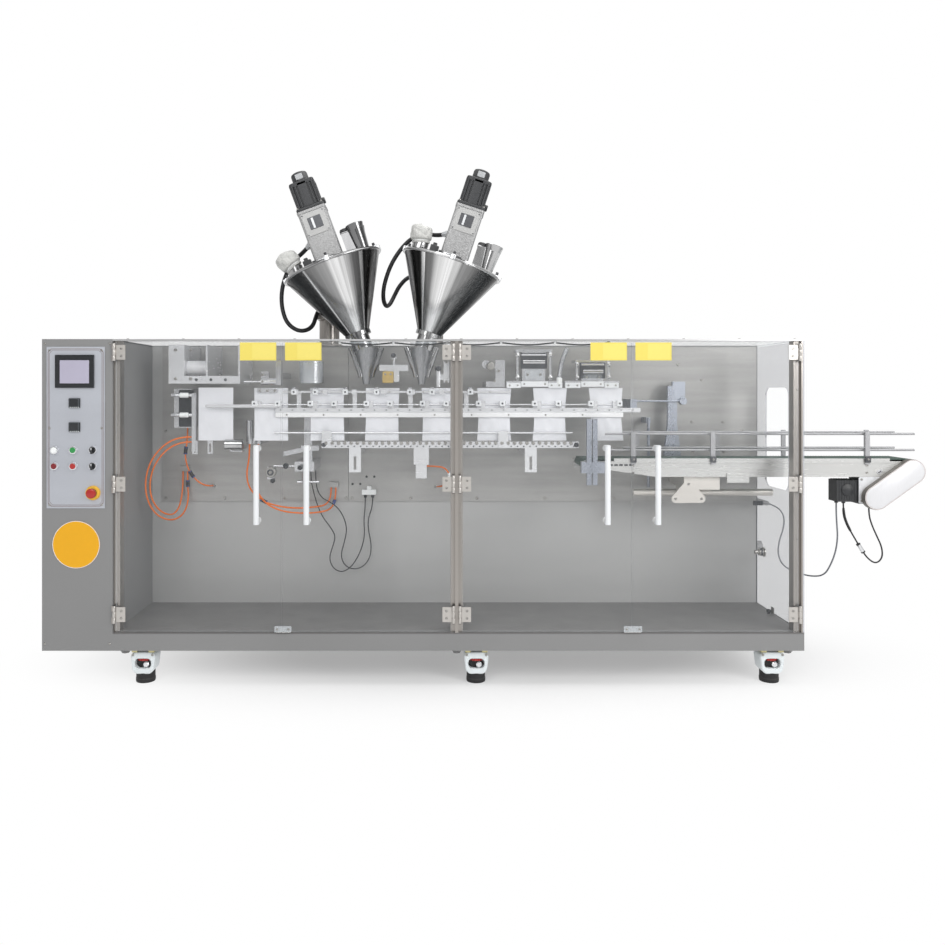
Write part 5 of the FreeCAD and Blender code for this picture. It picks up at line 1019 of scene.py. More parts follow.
def hopper_drive(k):
    """The drive on a hopper: hammered gearbox with a framed window, a motor whose ribs run
    along its axis, a flange below it and a round cap with a pale plate, and the hose's
    gland in line with the hose's first run."""
    origin, tilt = HOPPERS[k]
    shape = Shape()

    def add(surface, name):
        shape.add(leaned(surface, at(*origin), tilt), name)

    def block(half_x, half_y, low, high, name, radius=0.012, ease=0.002):
        add(slab((-half_x, -half_y, low), (half_x, half_y, high), radius, ease, "Z"), name)

    add(turned((0, 0, 0.3490), (0, 0, 1), [(0, 0.082), (0.014, 0.082), (0.017, 0.078)], 48),
        "gear_grey")
    block(0.065, 0.062, 0.360, 0.615, "hammered_grey", 0.010)
    block(0.0675, 0.0645, 0.364, 0.374, "hammered_grey")
    block(0.0675, 0.0645, 0.600, 0.6145, "hammered_grey")
    add(slab((-0.054, -0.0650, 0.492), (0.054, -0.0612, 0.597), 0.003, 0.001), "housing_paint")
    add(slab((-0.031, -0.0665, 0.518), (0.031, -0.0645, 0.574), 0.003, 0.0006), "dark_steel")
    add(slab((-0.015, -0.0670, 0.522), (-0.005, -0.0660, 0.570), 0.002, 0.0003), "gear_grey")
    for x in (-0.048, 0.048):
        for z in (0.499, 0.590):
            add(turned((x, -0.0648, z), (0, -1, 0), [(0, 0.003), (0.0014, 0.003),
                                                     (0.002, 0.002)], 12), "dark_steel")
    block(0.0655, 0.0655, 0.6150, 0.6270, "motor_black", 0.014)
    block(0.0520, 0.0520, 0.6260, 0.7400, "motor_black", 0.016)
    block(0.0575, 0.0575, 0.7290, 0.7480, "motor_black", 0.016)
    for side in (-1, 1):
        add(slab((-0.021, side * 0.0480, 0.629), (0.021, side * 0.0575, 0.741), 0.0015, 0.0008,
                 "Z"), "motor_black")
        add(slab((side * 0.0480, -0.021, 0.629), (side * 0.0575, 0.021, 0.741), 0.0015, 0.0008,
                 "Z"), "motor_black")
    for offset in (-0.0465, -0.0305, 0.0305, 0.0465):
        for side in (-1, 1):
            tip, root = side * 0.0590, side * 0.0480
            add(slab((offset - 0.0032, root, 0.629), (offset + 0.0032, tip, 0.741), 0.0015,
                     0.0008, "Z"), "motor_black")
            add(slab((root, offset - 0.0032, 0.629), (tip, offset + 0.0032, 0.741), 0.0015,
                     0.0008, "Z"), "motor_black")
    for x in (-0.056, 0.056):
        for y in (-0.056, 0.056):
            add(turned((x, y, 0.626), (0, 0, 1), [(0, 0.0055), (0.005, 0.0055),
                                                  (0.0065, 0.004)], 6), "screw_steel")
    add(turned((0, 0, 0.7470), (0, 0, 1),
               [(0, 0.044), (0.006, 0.0435), (0.008, 0.0385), (0.040, 0.0380),
                (0.0465, 0.0350), (0.0495, 0.0290), (0.0500, 0.0100)], 48), "motor_black")
    add(slab((-0.017, -0.0400, 0.7585), (0.017, -0.0355, 0.7845), 0.004, 0.0008), "grey_paint")
    add(turned((0.050, 0, 0.640), (1, 0, 0), [(0, 0.015), (0.020, 0.015), (0.024, 0.012)], 20),
        "motor_black")
    first, second = (at(*place) for place in CORDS[f"hopper_hose_{k}"][4][:2])
    way = (second - first) / np.linalg.norm(second - first)
    shape.add(turned(first - 0.046 * way, way,
                     [(0, 0.0165), (0.024, 0.0165), (0.026, 0.0145), (0.040, 0.0135),
                      (0.046, 0.0125)], 6), "gear_grey")
    shape.build(f"hopper_drive_{k}", replaces=("hopper_drives",) if k == 1 else (),
                slot="drive_grey")


def hopper_top(k):
    """The lid's pieces: a rolled rim, flared vents that widen as a square of the height,
    a foot collar with bolts and the sensor box's cap."""
    origin, tilt = HOPPERS[k]
    shape = Shape()

    def add(surface, name):
        shape.add(leaned(surface, at(*origin), tilt), name)

    rise = np.linspace(0, 1, 14)
    for y in (-0.046, 0.046):
        flare = [(0.128 * t, 0.0268 + 0.0145 * t ** 2.2) for t in rise]
        add(turned((0.158, y, 0.350), (0, 0, 1), flare + [(0.1300, 0.0405), (0.1285, 0.0375),
                                                          (0.100, 0.0330)], 40),
            "polished_steel")
    add(turned((0, 0, 0.3488), (0, 0, 1), [(0, 0.096), (0.008, 0.096), (0.011, 0.092),
                                           (0.012, 0.086)], 48), "polished_steel")
    for a in np.arange(0, FULL_TURN, FULL_TURN / 8):
        add(turned((0.0885 * math.cos(a), 0.0885 * math.sin(a), 0.3595), (0, 0, 1),
                   [(0, 0.006), (0.005, 0.006), (0.0065, 0.0045)], 6), "screw_steel")
    add(slab(np.array((0.084, -0.046, 0.4585)), np.array((0.132, 0.002, 0.4645)), 0.004, 0.0015,
             "Z"), "polished_steel")
    add(turned((-0.165, 0, 0.3492), (0, 0, 1), [(0, 0.046), (0.004, 0.046), (0.006, 0.0405)], 40),
        "polished_steel")
    for a in (-90, -8, 188, 90):
        turn = np.array(Matrix.Rotation(math.radians(a), 3, "Z"))
        for low, high, name in (((0.212, -0.011, 0.3360), (0.2355, 0.011, 0.3560), "chrome_ring"),
                                ((0.196, -0.009, 0.3500), (0.2250, 0.009, 0.3600), "chrome_ring"),
                                ((0.2050, -0.006, 0.3600), (0.2170, 0.006, 0.3740),
                                 "black_gloss")):
            points, faces = slab(low, high, 0.003, 0.001, "Z")
            add((points @ turn.T, faces), name)
    add(turned((0.1075, -0.022, 0.4640), (0, 0, 1), [(0, 0.0235), (0.010, 0.0235), (0.016, 0.0200),
                                                 (0.018, 0.012)], 32), "motor_black")
    add(turned((0.020, -0.094, 0.3490), (0, 0, 1), [(0, 0.011), (0.014, 0.011), (0.016, 0.014),
                                                   (0.024, 0.014), (0.027, 0.010)], 20),
        "black_gloss")
    add(slab((-0.052, -0.104, 0.3490), (0.002, -0.070, 0.3760), 0.003, 0.0015, "Z"), "block_steel")
    add(slab((-0.040, -0.1055, 0.3560), (-0.012, -0.1030, 0.3710), 0.002, 0.0006), "dark_steel")
    for low, high in (((-0.114, -0.112, 0.3492), (-0.076, -0.078, 0.3900)),
                      ((-0.106, -0.106, 0.3895), (-0.088, -0.084, 0.4020)),
                      ((-0.072, -0.128, 0.3492), (-0.054, -0.108, 0.3740))):
        add(slab(np.array(low), np.array(high), 0.004, 0.0015, "Z"), "motor_black")
    shape.build(f"hopper_top_{k}", slot="polished_steel")


def cloth_bag(k):
    """A cloth cap tied over an inlet, flopped over to the outside: its radius swells at once
    above the tie and closes in a flat crown. Gathers rise from the tie as cosines of the
    angle, broad dents pass over its side, and the whole cap leans more than the lid."""
    origin, tilt = HOPPERS[k]
    profile = np.array([(0.000, 0.0392), (0.006, 0.0404), (0.010, 0.0380), (0.014, 0.0435),
                        (0.018, 0.0485), (0.026, 0.0510), (0.042, 0.0520), (0.060, 0.0515),
                        (0.070, 0.0495), (0.077, 0.0440), (0.0805, 0.0330), (0.0820, 0.0190),
                        (0.0825, 0.0050)])
    t = np.linspace(0, len(profile) - 1, 61)
    height = np.interp(t, np.arange(len(profile)), profile[:, 0])
    radius = np.interp(t, np.arange(len(profile)), profile[:, 1])
    angle = np.linspace(0, FULL_TURN, 96, endpoint=False)
    share = (height / height[-1])[:, None]
    gathers = 0.0011 * (1 - share) ** 0.7 * np.cos(22 * angle + 2 * share)
    dents = 0.0060 * np.sin(np.pi * share ** 1.4) ** 0.8 * (
        0.5 * np.cos(2 * angle + 1.4 * k) + 0.3 * np.cos(5 * angle + 5 * share + k)
        - 0.75 * (1 - np.abs(np.cos(3.5 * angle - 4 * share + 2 * k))) ** 2
        - 0.5 * (1 - np.abs(np.cos(2.5 * angle + 7 * share + k))) ** 3)
    r = (radius[:, None] / 0.052) * (0.052 + gathers + dents)
    crown = (0.0070 * share ** 2 * np.cos(angle + 2.4 + 0.6 * k)
             + 0.0026 * share ** 2 * np.cos(3 * angle + 4 * share + k))
    rise = np.broadcast_to(height[:, None], r.shape) + crown
    rings = np.stack([r * np.cos(angle), r * np.sin(angle), rise], -1)
    flop = np.array(Matrix.Rotation(CAP_LEAN[k], 3, "Y"))
    tie = np.array([-0.165, 0, 0.3960])
    rings = rings @ flop.T + tie
    shape = Shape().add(leaned(loft(rings), at(*origin), tilt), "bag_cloth")
    a = np.linspace(0, FULL_TURN, 48, endpoint=False)
    b = np.linspace(0, FULL_TURN, 8, endpoint=False)
    cord = np.array([[((0.0388 + 0.0020 * math.cos(v)) * math.cos(u),
                       (0.0388 + 0.0020 * math.cos(v)) * math.sin(u),
                       0.0102 + 0.0020 * math.sin(v)) for v in b] for u in a])
    cord = cord @ flop.T + tie
    shape.add(leaned(loft(cord, wrap=True), at(*origin), tilt), "white_plastic_and_highlight")
    shape.build(f"cloth_bag_{k}", replaces=("inlet_bags",) if k == 1 else (), slot="bag_cloth")


# How far each cap leans past its lid
CAP_LEAN = {1: -0.40, 2: -0.26}


# The pouch line

def pouch(number):
    """A flat filled pouch as one closed skin: its two faces part as the product of two
    bulges, sin(pi u)^p across and a fuller belly below, and meet in flat sealed edges."""
    x0 = 0.850 + 0.2535 * number
    wide, low, high, middle = 0.154, 1.029, 1.268, 0.2533
    rows, columns = 40, 28
    v = np.linspace(0, 1, rows)[:, None]
    u = np.linspace(0, 1, columns)[None, :]
    inner_u = np.clip((u - 0.055) / 0.89, 0, 1)
    inner_v = np.clip((v - 0.05) / 0.90, 0, 1)
    belly = np.sin(np.pi * inner_u) ** 0.7 * np.sin(np.pi * inner_v ** 0.72) ** 0.8
    fullness = 0.0016 + 0.0009 * min(number, 5)
    fold = np.abs((2.2 * u + 1.4 * v + 0.37 * number) % 1 - 0.5)
    crease = (0.0013 * np.sin(5 * np.pi * u + 2.3 * number) * np.sin(3 * np.pi * v)
              + 0.0040 * (0.25 - fold)) * belly
    waist = (0.0012 * number + 0.001) * np.sin(np.pi * v) * (1 - 2 * u)
    skew = 0.004 * math.sin(2.4 * number) * (1 - v)
    x = x0 + wide * u + waist + skew
    z = np.broadcast_to(low + (high - low) * v, (rows, columns))
    bend = 0.0006 * np.sin(2.1 * np.pi * v + number)
    front = middle - 0.0004 - fullness * belly + crease + bend
    back = middle + 0.0004 + fullness * belly + crease + bend
    # each ring runs along the front from left to right and back along the rear
    rings = np.concatenate([np.stack([x, front, z], -1), np.stack([x, back, z], -1)[:, ::-1]], 1)
    return moved(loft(rings))


def film_web():
    """The white film that comes down from the former: a sheet with slow waves in depth."""
    rows, columns = 40, 24
    v = np.linspace(0, 1, rows)[:, None]
    u = np.linspace(0, 1, columns)[None, :]
    x = np.broadcast_to(0.594 + 0.158 * u, (rows, columns))
    z = np.broadcast_to(1.029 + 0.241 * v, (rows, columns))
    wave = 0.0012 * np.sin(2 * np.pi * (u + 0.4 * v)) + 0.0007 * np.sin(5 * np.pi * v)
    rings = np.concatenate([np.stack([x, 0.2612 + wave, z], -1),
                            np.stack([x, 0.2640 + wave, z], -1)[:, ::-1]], 1)
    return moved(loft(rings))


def pouches():
    """All pouches and the film web, with their pressed seal lines along top and bottom."""
    shape = Shape().add(film_web(), "film_white")
    for number in range(7):
        shape.add(pouch(number), "film_white")
    shape.build("film_and_pouches", replaces=("pouches",), slot="pouch_film", sharp=60)


def grip(shape, x, z, depth, up):
    """A spring grip: a pale block with round corners and its dark pin."""
    shape.add(placed_slab((x - 0.012, depth - 0.010, z - 0.012), (x + 0.012, depth + 0.012, z + 0.012),
                          0.003), "handle_white")
    shape.add(lathe((x, depth - 0.010, z), (0, -1, 0),
                    [(0, 0.0044), (0.002, 0.0044), (0.003, 0.003)], 16), "dark_steel")
    shape.add(placed_slab((x - 0.008, depth - 0.004, z - up * 0.012),
                          (x + 0.008, depth + 0.010, z - up * 0.020), 0.002), "block_steel")


def rail_details():
    """Grips on both bars, the hole row of the lower bar and the bars' screws."""
    shape = Shape()
    for px in (856, 960, 1108, 1215, 1361, 1468, 1615, 1722, 1868, 1976, 2122, 2229, 2376, 2506):
        grip(shape, px / 1000, 1.198, 0.233, 1)
    for px in (1034, 1130, 1266, 1408, 1558, 1658, 1831):
        grip(shape, px / 1000, 1.250, 0.233, -1)
    shape.add(placed_slab((0.9485, 0.2372, 1.1355), (2.5245, 0.2420, 1.1560), 0.002), "bar_white")
    for x in np.arange(0.972, 2.596, 0.0532):
        shape.add(lathe((x, 0.2402, 1.168), (0, -1, 0),
                        [(0, 0.0032), (0.0006, 0.0032), (0.0008, 0.0026)], 12), "dark_steel")
    for x in np.arange(1.0, 2.5, 0.1675):
        add_screw(shape, (x, 0.2374, 1.1465), (0, -1, 0), 0.0040)
    for x in np.arange(1.01, 2.0, 0.152):
        add_screw(shape, (x, 0.240, 1.2505), (0, -1, 0), 0.0032)
    # the clear guide bar that reaches left in front of the film
    shape.add(placed_slab((0.634, 0.2265, 1.1785), (0.966, 0.2405, 1.1935), 0.0075), "rail_steel")
    shape.build("rail_details", slot="rail_steel")


def roller_details():
    """The roller rail: small rollers in a row along its top, holes along its face and dark
    caps at its ends."""
    shape = Shape()
    for x in np.arange(1.178, 2.31, 0.02845):
        shape.add(lathe((x, 0.2405, 1.0185), (0, -1, 0),
                        [(0, 0.0078), (0.006, 0.0078), (0.0072, 0.0062)], 14), "screw_steel")
        shape.add(lathe((x + 0.0142, 0.2402, 1.0035), (0, -1, 0),
                        [(0, 0.0036), (0.0005, 0.0036), (0.0007, 0.0028)], 10), "dark_steel")
    for x in (1.168, 2.312):
        shape.add(lathe((x, 0.2405, 1.0105), (0, -1, 0),
                        [(0, 0.0105), (0.005, 0.0105), (0.007, 0.008)], 20), "dark_steel")
    shape.build("roller_details", slot="rail_steel")


def film_details():
    """The film roll: a wound face whose rim is slightly domed, the screws of its plates, a
    black plate, and the two white fingers and bright roll that guide the film under the
    former."""
    shape = Shape()
    for x0, x1 in ((0.4645, 0.5275), (0.5285, 0.6005)):
        for z in (1.31, 1.44):
            add_screw(shape, ((x0 + x1) / 2, solid_front("film_unwind"), z), (0, -1, 0), 0.007)
    shape.add(lathe((0.7155, 0.256, 1.011), (1, 0, 0),
                    [(0, 0.018), (0.003, 0.0235), (0.081, 0.0235), (0.084, 0.018)], 32),
              "polished_steel")
    shape.add(lathe((0.5345, 0.300, 1.360), (1, 0, 0),
                    [(0, 0.026), (0.002, 0.0330), (0.094, 0.0330), (0.096, 0.026)], 48),
              "roll_film")
    shape.add(placed_slab((0.4975, 0.2835, 1.0905), (0.5665, 0.2895, 1.2595), 0.006), "black_gloss")
    for z in (1.1455, 1.2355):
        shape.add(lathe((0.512, 0.2478, z), (1, 0, 0),
                        [(0, 0.0085), (0.003, 0.0115), (0.038, 0.0115), (0.041, 0.0085)], 24),
                  "white_plastic_and_highlight")
    for x in (0.590, 0.656, 0.722):
        shape.add(lathe((x, solid_front("film_unwind"), 1.3055), (0, -1, 0),
                        [(0, 0.0068), (0.0006, 0.0068), (0.0008, 0.006)], 16), "dark_steel")
    shape.build("film_details", slot="station_steel")


def solid_front(node):
    """The depth of a solid's front, from the box of its node."""
    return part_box(node)[0].y - FRONT


def station_details():
    """Fittings of the opening and filling stations: knobs, clear cup, cylinder ends, brass
    block, clevis pins and a ribbed suction hose."""
    shape = Shape()
    for x, z, r in ((1.484, 1.415, 0.011), (1.923, 1.366, 0.019), (1.687, 1.356, 0.012)):
        shape.add(lathe((x, 0.232, z), (0, -1, 0),
                        [(0, r), (0.010, r), (0.014, 0.8 * r), (0.0155, 0.4 * r)], 24),
                  "dark_steel" if r < 0.015 else "screw_steel")
    shape.add(placed_slab((1.434, 0.226, 1.291), (1.484, 0.262, 1.343), 0.004), "brass")
    for x in (1.447, 1.471):
        add_screw(shape, (x, 0.226, 1.330), (0, -1, 0), 0.005)
    cup = [(0, 0.047), (0.006, 0.050), (0.030, 0.0535), (0.094, 0.0545), (0.100, 0.052)]
    shape.add(lathe((1.105, 0.276, 1.290), (0, 0, 1), cup, 40), "cup_acrylic")
    shape.add(lathe((1.687, 0.276, 1.273), (0, 0, 1),
                    [(0, 0.008), (0.006, 0.0115), (0.070, 0.0115), (0.082, 0.015),
                     (0.094, 0.013), (0.096, 0.007)], 24), "black_gloss")
    # the clamp and bolts over the first pouch
    shape.add(placed_slab((0.866, 0.238, 1.246), (0.958, 0.252, 1.266), 0.004), "block_steel")
    for x in (0.878, 0.912, 0.946):
        add_screw(shape, (x, 0.238, 1.256), (0, -1, 0), 0.0055)
    # knobs and a knurled drum on the lower station
    shape.add(turned_drum((0.9235, 0.282, 0.884), 0.024, 0.030), "screw_steel")
    shape.add(lathe((0.9235, 0.2525, 0.884), (0, -1, 0),
                    [(0, 0.0150), (0.003, 0.0150), (0.004, 0.0135)], 24), "dark_steel")
    for x, z, r in ((0.9235, 0.884, 0.008), (0.994, 0.914, 0.0125), (0.934, 0.846, 0.0105),
                    (1.058, 0.906, 0.0110)):
        shape.add(lathe((x, 0.284, z), (0, -1, 0),
                        [(0, 0.55 * r), (0.022, 0.55 * r), (0.023, r), (0.038, r),
                         (0.041, 0.7 * r)], 20), "black_gloss" if r > 0.0101 else "screw_steel")
    for x, z in ((0.8925, 1.327), (0.8925, 1.298), (1.724, 1.385), (1.724, 1.296),
                 (1.940, 1.300), (1.960, 1.345)):
        add_screw(shape, (x, 0.226, z), (0, -1, 0), 0.006)
    for x0, x1 in ((1.996, 2.060), (2.062, 2.184), (2.186, 2.248), (2.262, 2.330),
                   (2.334, 2.436), (2.440, 2.504)):
        lift = 0.006 if x1 - x0 > 0.08 else 0
        shape.add(placed_slab((x0, 0.2365, 1.268 + lift), (x1, 0.2425, 1.292 + lift), 0.003),
                  "handle_white")
        for x in (x0 + 0.014, x1 - 0.014):
            add_screw(shape, (x, 0.2365, 1.280 + lift), (0, -1, 0), 0.0042)
    for x0, x1, top in ((2.040, 2.201, 1.436), (2.310, 2.465, 1.392)):
        for x in (x0, x1 - 0.012):
            shape.add(placed_slab((x, 0.2435, 1.302), (x + 0.012, 0.256, top), 0.003), "block_steel")
            for z in (1.318, top - 0.018):
                shape.add(lathe((x + 0.006, 0.2435, z), (0, -1, 0),
                                [(0, 0.0105), (0.006, 0.0105), (0.010, 0.006), (0.016, 0.006),
                                 (0.017, 0.004)], 16), "polished_steel")
        shape.add(placed_slab((x0 + 0.020, 0.2455, top - 0.080), (x1 - 0.020, 0.2515, top - 0.008),
                              0.004), "dark_steel")
        shape.add(lathe((x0 + 0.030, 0.2440, top - 0.050), (1, 0, 0),
                        [(0, 0.007), (0.001, 0.0105), (x1 - x0 - 0.061, 0.0105),
                         (x1 - x0 - 0.060, 0.007)], 24), "polished_steel")
        shape.add(placed_slab((x0 + 0.024, 0.2425, top - 0.022), (x1 - 0.024, 0.2460, top - 0.014),
                              0.002), "chrome_ring")
    for x0, x1, z0, z1 in ((2.078, 2.163, 1.306, 1.352), (2.345, 2.430, 1.304, 1.330)):
        shape.add(placed_slab((x0, 0.2425, z0), (x1, 0.2505, z1), 0.008), "cup_acrylic")
        for x in (x0 + 0.014, x1 - 0.014):
            add_screw(shape, (x, 0.2425, (z0 + z1) / 2), (0, -1, 0), 0.0055)
    turns = np.linspace(0, 1, 240)
    radius = 0.0105 + 0.0016 * np.cos(2 * np.pi * 24 * turns)
    path = np.stack([2.236 + 0.036 * turns ** 2.2, np.full(240, 0.246),
                     1.290 + 0.158 * turns], 1)
    shape.add(moved(piped(path, radius, 16)), "block_steel")
    shape.add(lathe((2.236, 0.246, 1.286), (0, 0, 1),
                    [(0, 0.0110), (0.002, 0.0130), (0.026, 0.0130), (0.030, 0.0105)], 24),
              "white_plastic_and_highlight")
    shape.build("station_details", slot="station_steel")


def turned_drum(centre, radius, length, teeth=28):
    """A knurled drum along the depth: its radius swings as a cosine of the angle, and both
    ends draw in."""
    angle = np.linspace(0, FULL_TURN, teeth * 4, endpoint=False)
    around = radius * (1 + 0.035 * np.cos(teeth * angle))
    circle = np.stack([around * np.cos(angle), around * np.sin(angle)], 1)
    middle = np.array([centre[0], centre[2]])
    rings = [raised(middle + share * circle, centre[1] - along, "Y")
             for share, along in ((0.9, 0), (1, 0.002), (1, length - 0.002), (0.9, length))]
    return moved(loft(rings))


def discharge_tubes():
    """Under each hopper: a dark cone between two bright tubes that bow outward, their
    distance from the middle growing as the 1.35th power of the height."""
    shape = Shape()
    for x in (1.358, 1.611):
        shape.add(lathe((x, 0.276, 1.285), (0, 0, 1),
                        [(0, 0.0150), (0.012, 0.0165), (0.070, 0.0300), (0.140, 0.0485),
                         (0.168, 0.0505)], 48), "cone_steel")
        rise = np.linspace(0, 1, 24)
        for side in (-1, 1):
            path = np.stack([x + side * (0.0245 + 0.0460 * rise ** 1.35),
                             np.full(24, 0.2740), 1.318 + 0.136 * rise], 1)
            shape.add(moved(piped(path, 0.0128, 20)), "polished_steel")
    shape.build("discharge_tubes", slot="polished_steel")


# The conveyor and the frame

def conveyor_details():
    """Side bolts, slots, round covers with rims and the motor's ribs."""
    shape = Shape()
    for x in (2.555, 3.272, 3.598):
        for z in (0.890, 0.923):
            add_screw(shape, (x, 0.180, z), (0, -1, 0), 0.0052)
    for px in (611, 616, 621, 626, 631):
        x = 1.649 + (px - 430) * 4.25e-3 * (1 + 0.18 / 3.61)
        shape.add(placed_slab((x - 0.009, 0.1794, 0.920), (x + 0.009, 0.1806, 0.928), 0.004,
                              0.0002), "dark_steel")
    face, middle = stadium(0.0490), stadium(0.0475)
    shape.add(moved(loft([raised(face, 0.1446, "Y"), raised(face, 0.1434, "Y"),
                          raised(middle, 0.1426, "Y")])), "guard_face")
    # the covers' side wall is drawn dark: painted shade
    shape.add(moved(pierced(stadium(0.0546), stadium(0.0510), 0.1470, 0.1794)), "guard_side_shade")
    shape.add(moved(pierced(stadium(0.0536), stadium(0.0490), 0.1428, 0.1450)), "guard_rim")
    shape.add(leaned(slab((-0.013, -0.0010, -0.009), (0.013, 0.0008, 0.009), 0.003, 0.0004),
                     at(3.655, 0.1797, 0.893), -0.62), "block_steel")
    shape.add(leaned(slab((-0.008, -0.0014, -0.0025), (0.008, -0.0008, 0.0025), 0.002, 0.0002),
                     at(3.655, 0.1797, 0.893), -0.62), "dark_steel")
    for x in (2.555, 2.910, 3.272, 3.598):
        shape.add(placed_slab((x - 0.013, 0.1665, 0.9360), (x + 0.013, 0.1745, 0.9640), 0.003),
                  "dark_steel")
        add_screw(shape, (x, 0.1665, 0.9500), (0, -1, 0), 0.0050)
    for x, z in ((2.752, 0.7705), (2.868, 0.7705), (2.810, 0.8365)):
        add_screw(shape, (x, 0.204, z), (0, -1, 0), 0.0055)
    for x in np.arange(3.478, 3.557, 0.0115):
        shape.add(placed_slab((x, 0.186, 0.766), (x + 0.004, 0.270, 0.857), 0.0015, 0.0008),
                  "motor_black")
    shape.add(placed_slab((3.561, 0.1765, 0.7530), (3.667, 0.1808, 0.8705), 0.006), "guard_steel")
    for x, z in ((3.573, 0.860), (3.573, 0.764)):
        add_screw(shape, (x, 0.1765, z), (0, -1, 0), 0.0050)
    shape.add(lathe((3.515, 0.1870, 0.812), (0, -1, 0),
                    [(0, 0.027), (0.004, 0.026), (0.010, 0.016), (0.012, 0.008)], 32),
              "motor_black")
    shape.add(placed_slab((2.470, 0.1770, 0.9330), (3.700, 0.1805, 0.9535), 0.0015, 0.0005),
              "conveyor_steel")
    shape.build("conveyor_details", slot="conveyor_steel")


def stadium(radius, steps=24):
    """The chain guard's outline: two half rounds whose middles are the chain wheels."""
    low, high = np.array([3.626, 0.782]), np.array([3.786, 0.897])
    way = math.atan2(*(high - low)[::-1])
    half = np.linspace(-math.pi / 2, math.pi / 2, steps)
    ends = [middle + radius * np.stack([np.cos(way + turn + half), np.sin(way + turn + half)], 1)
            for middle, turn in ((high, 0.0), (low, math.pi))]
    return np.concatenate(ends)


def belt_skin():
    """The belt's upper run with cross ribs: a thin slab whose top rises and falls with the
    length as a narrow power of a cosine."""
    count = 700
    x = np.linspace(2.332, 3.800, count)
    rib = 0.0011 * np.cos(np.pi * (x - 2.332) / 0.0125) ** 8
    rings = np.stack([
        np.stack([x, np.full(count, 0.1885), np.full(count, 0.9486)], 1),
        np.stack([x, np.full(count, 0.3715), np.full(count, 0.9486)], 1),
        np.stack([x, np.full(count, 0.3715), 0.9502 + rib], 1),
        np.stack([x, np.full(count, 0.1885), 0.9502 + rib], 1)], 1)
    Shape().add(moved(loft(rings)), "belt_green").build("belt_ribs", slot="belt_green")


def frame_details():
    """Bolts, plain covers and pads of the frame, side and rear, and dark slats on the left side."""
    shape = Shape()
    for x in (0.012, 0.288):
        for z in (0.18, 1.455):
            add_screw(shape, (x, 0.0002, z), (0, -1, 0), 0.0045)
    for x in np.arange(0.36, 3.22, 0.2372):
        add_screw(shape, (x, 0.015, 1.4748), (0, 0, 1), 0.0055)
    for z in (0.84, 1.04, 1.24):
        for depth in (0.135, 0.417):
            add_screw(shape, (3.240, depth, z), (1, 0, 0), 0.0055)
    for z in np.arange(0.35, 1.10, 0.045):
        shape.add(placed_slab((-0.0022, 0.36, z), (0.001, 0.64, z + 0.018), 0.008, 0.0006, "X"),
                  "dark_steel")
    for x in (0.30, 1.03, 1.76, 2.49, 3.20):
        for z in (0.30, 0.85, 1.38):
            add_screw(shape, (x + 0.03, 0.9998, z), (0, 1, 0), 0.007)
    for x in (0.65, 1.39, 2.13, 2.87):
        shape.add(placed_slab((x - 0.30, 0.9985, 0.32), (x + 0.30, 1.0025, 1.36), 0.02, 0.0015),
                  "cabinet_paint")
        for z in (0.40, 1.28):
            add_screw(shape, (x + 0.27, 1.0025, z), (0, 1, 0), 0.008)
    for x in (0.335, 1.764, 3.192):
        for depth in (0.060, 0.940):
            shape.add(lathe((x, depth, 0.1505), (0, 0, -1),
                            [(0, 0.0215), (0.018, 0.0215), (0.020, 0.017), (0.025, 0.017)], 6),
                      "cabinet_paint")
    shape.build("frame_details", slot="cabinet_paint")


def rail_cable():
    """A thin cable clipped under the top rail: its height sags between the clips as the
    size of a sine, which touches the rail at each clip."""
    x = np.linspace(1.262, 2.415, 260)
    sag = 0.009 * np.abs(np.sin(np.pi * (x - x[0]) / 0.2306)) ** 1.2
    path = np.stack([x, np.full(260, 0.0335), 1.4612 - sag], 1)
    shape = Shape().add(moved(piped(path, 0.0032, 8)), "cord_black")
    for clip in np.arange(x[0], x[-1] + 0.01, 0.2306):
        shape.add(placed_slab((clip - 0.005, 0.0285, 1.4560), (clip + 0.005, 0.0385, 1.4680), 0.003),
                  "white_plastic_and_highlight")
    shape.build("rail_cable", slot="cord_black")


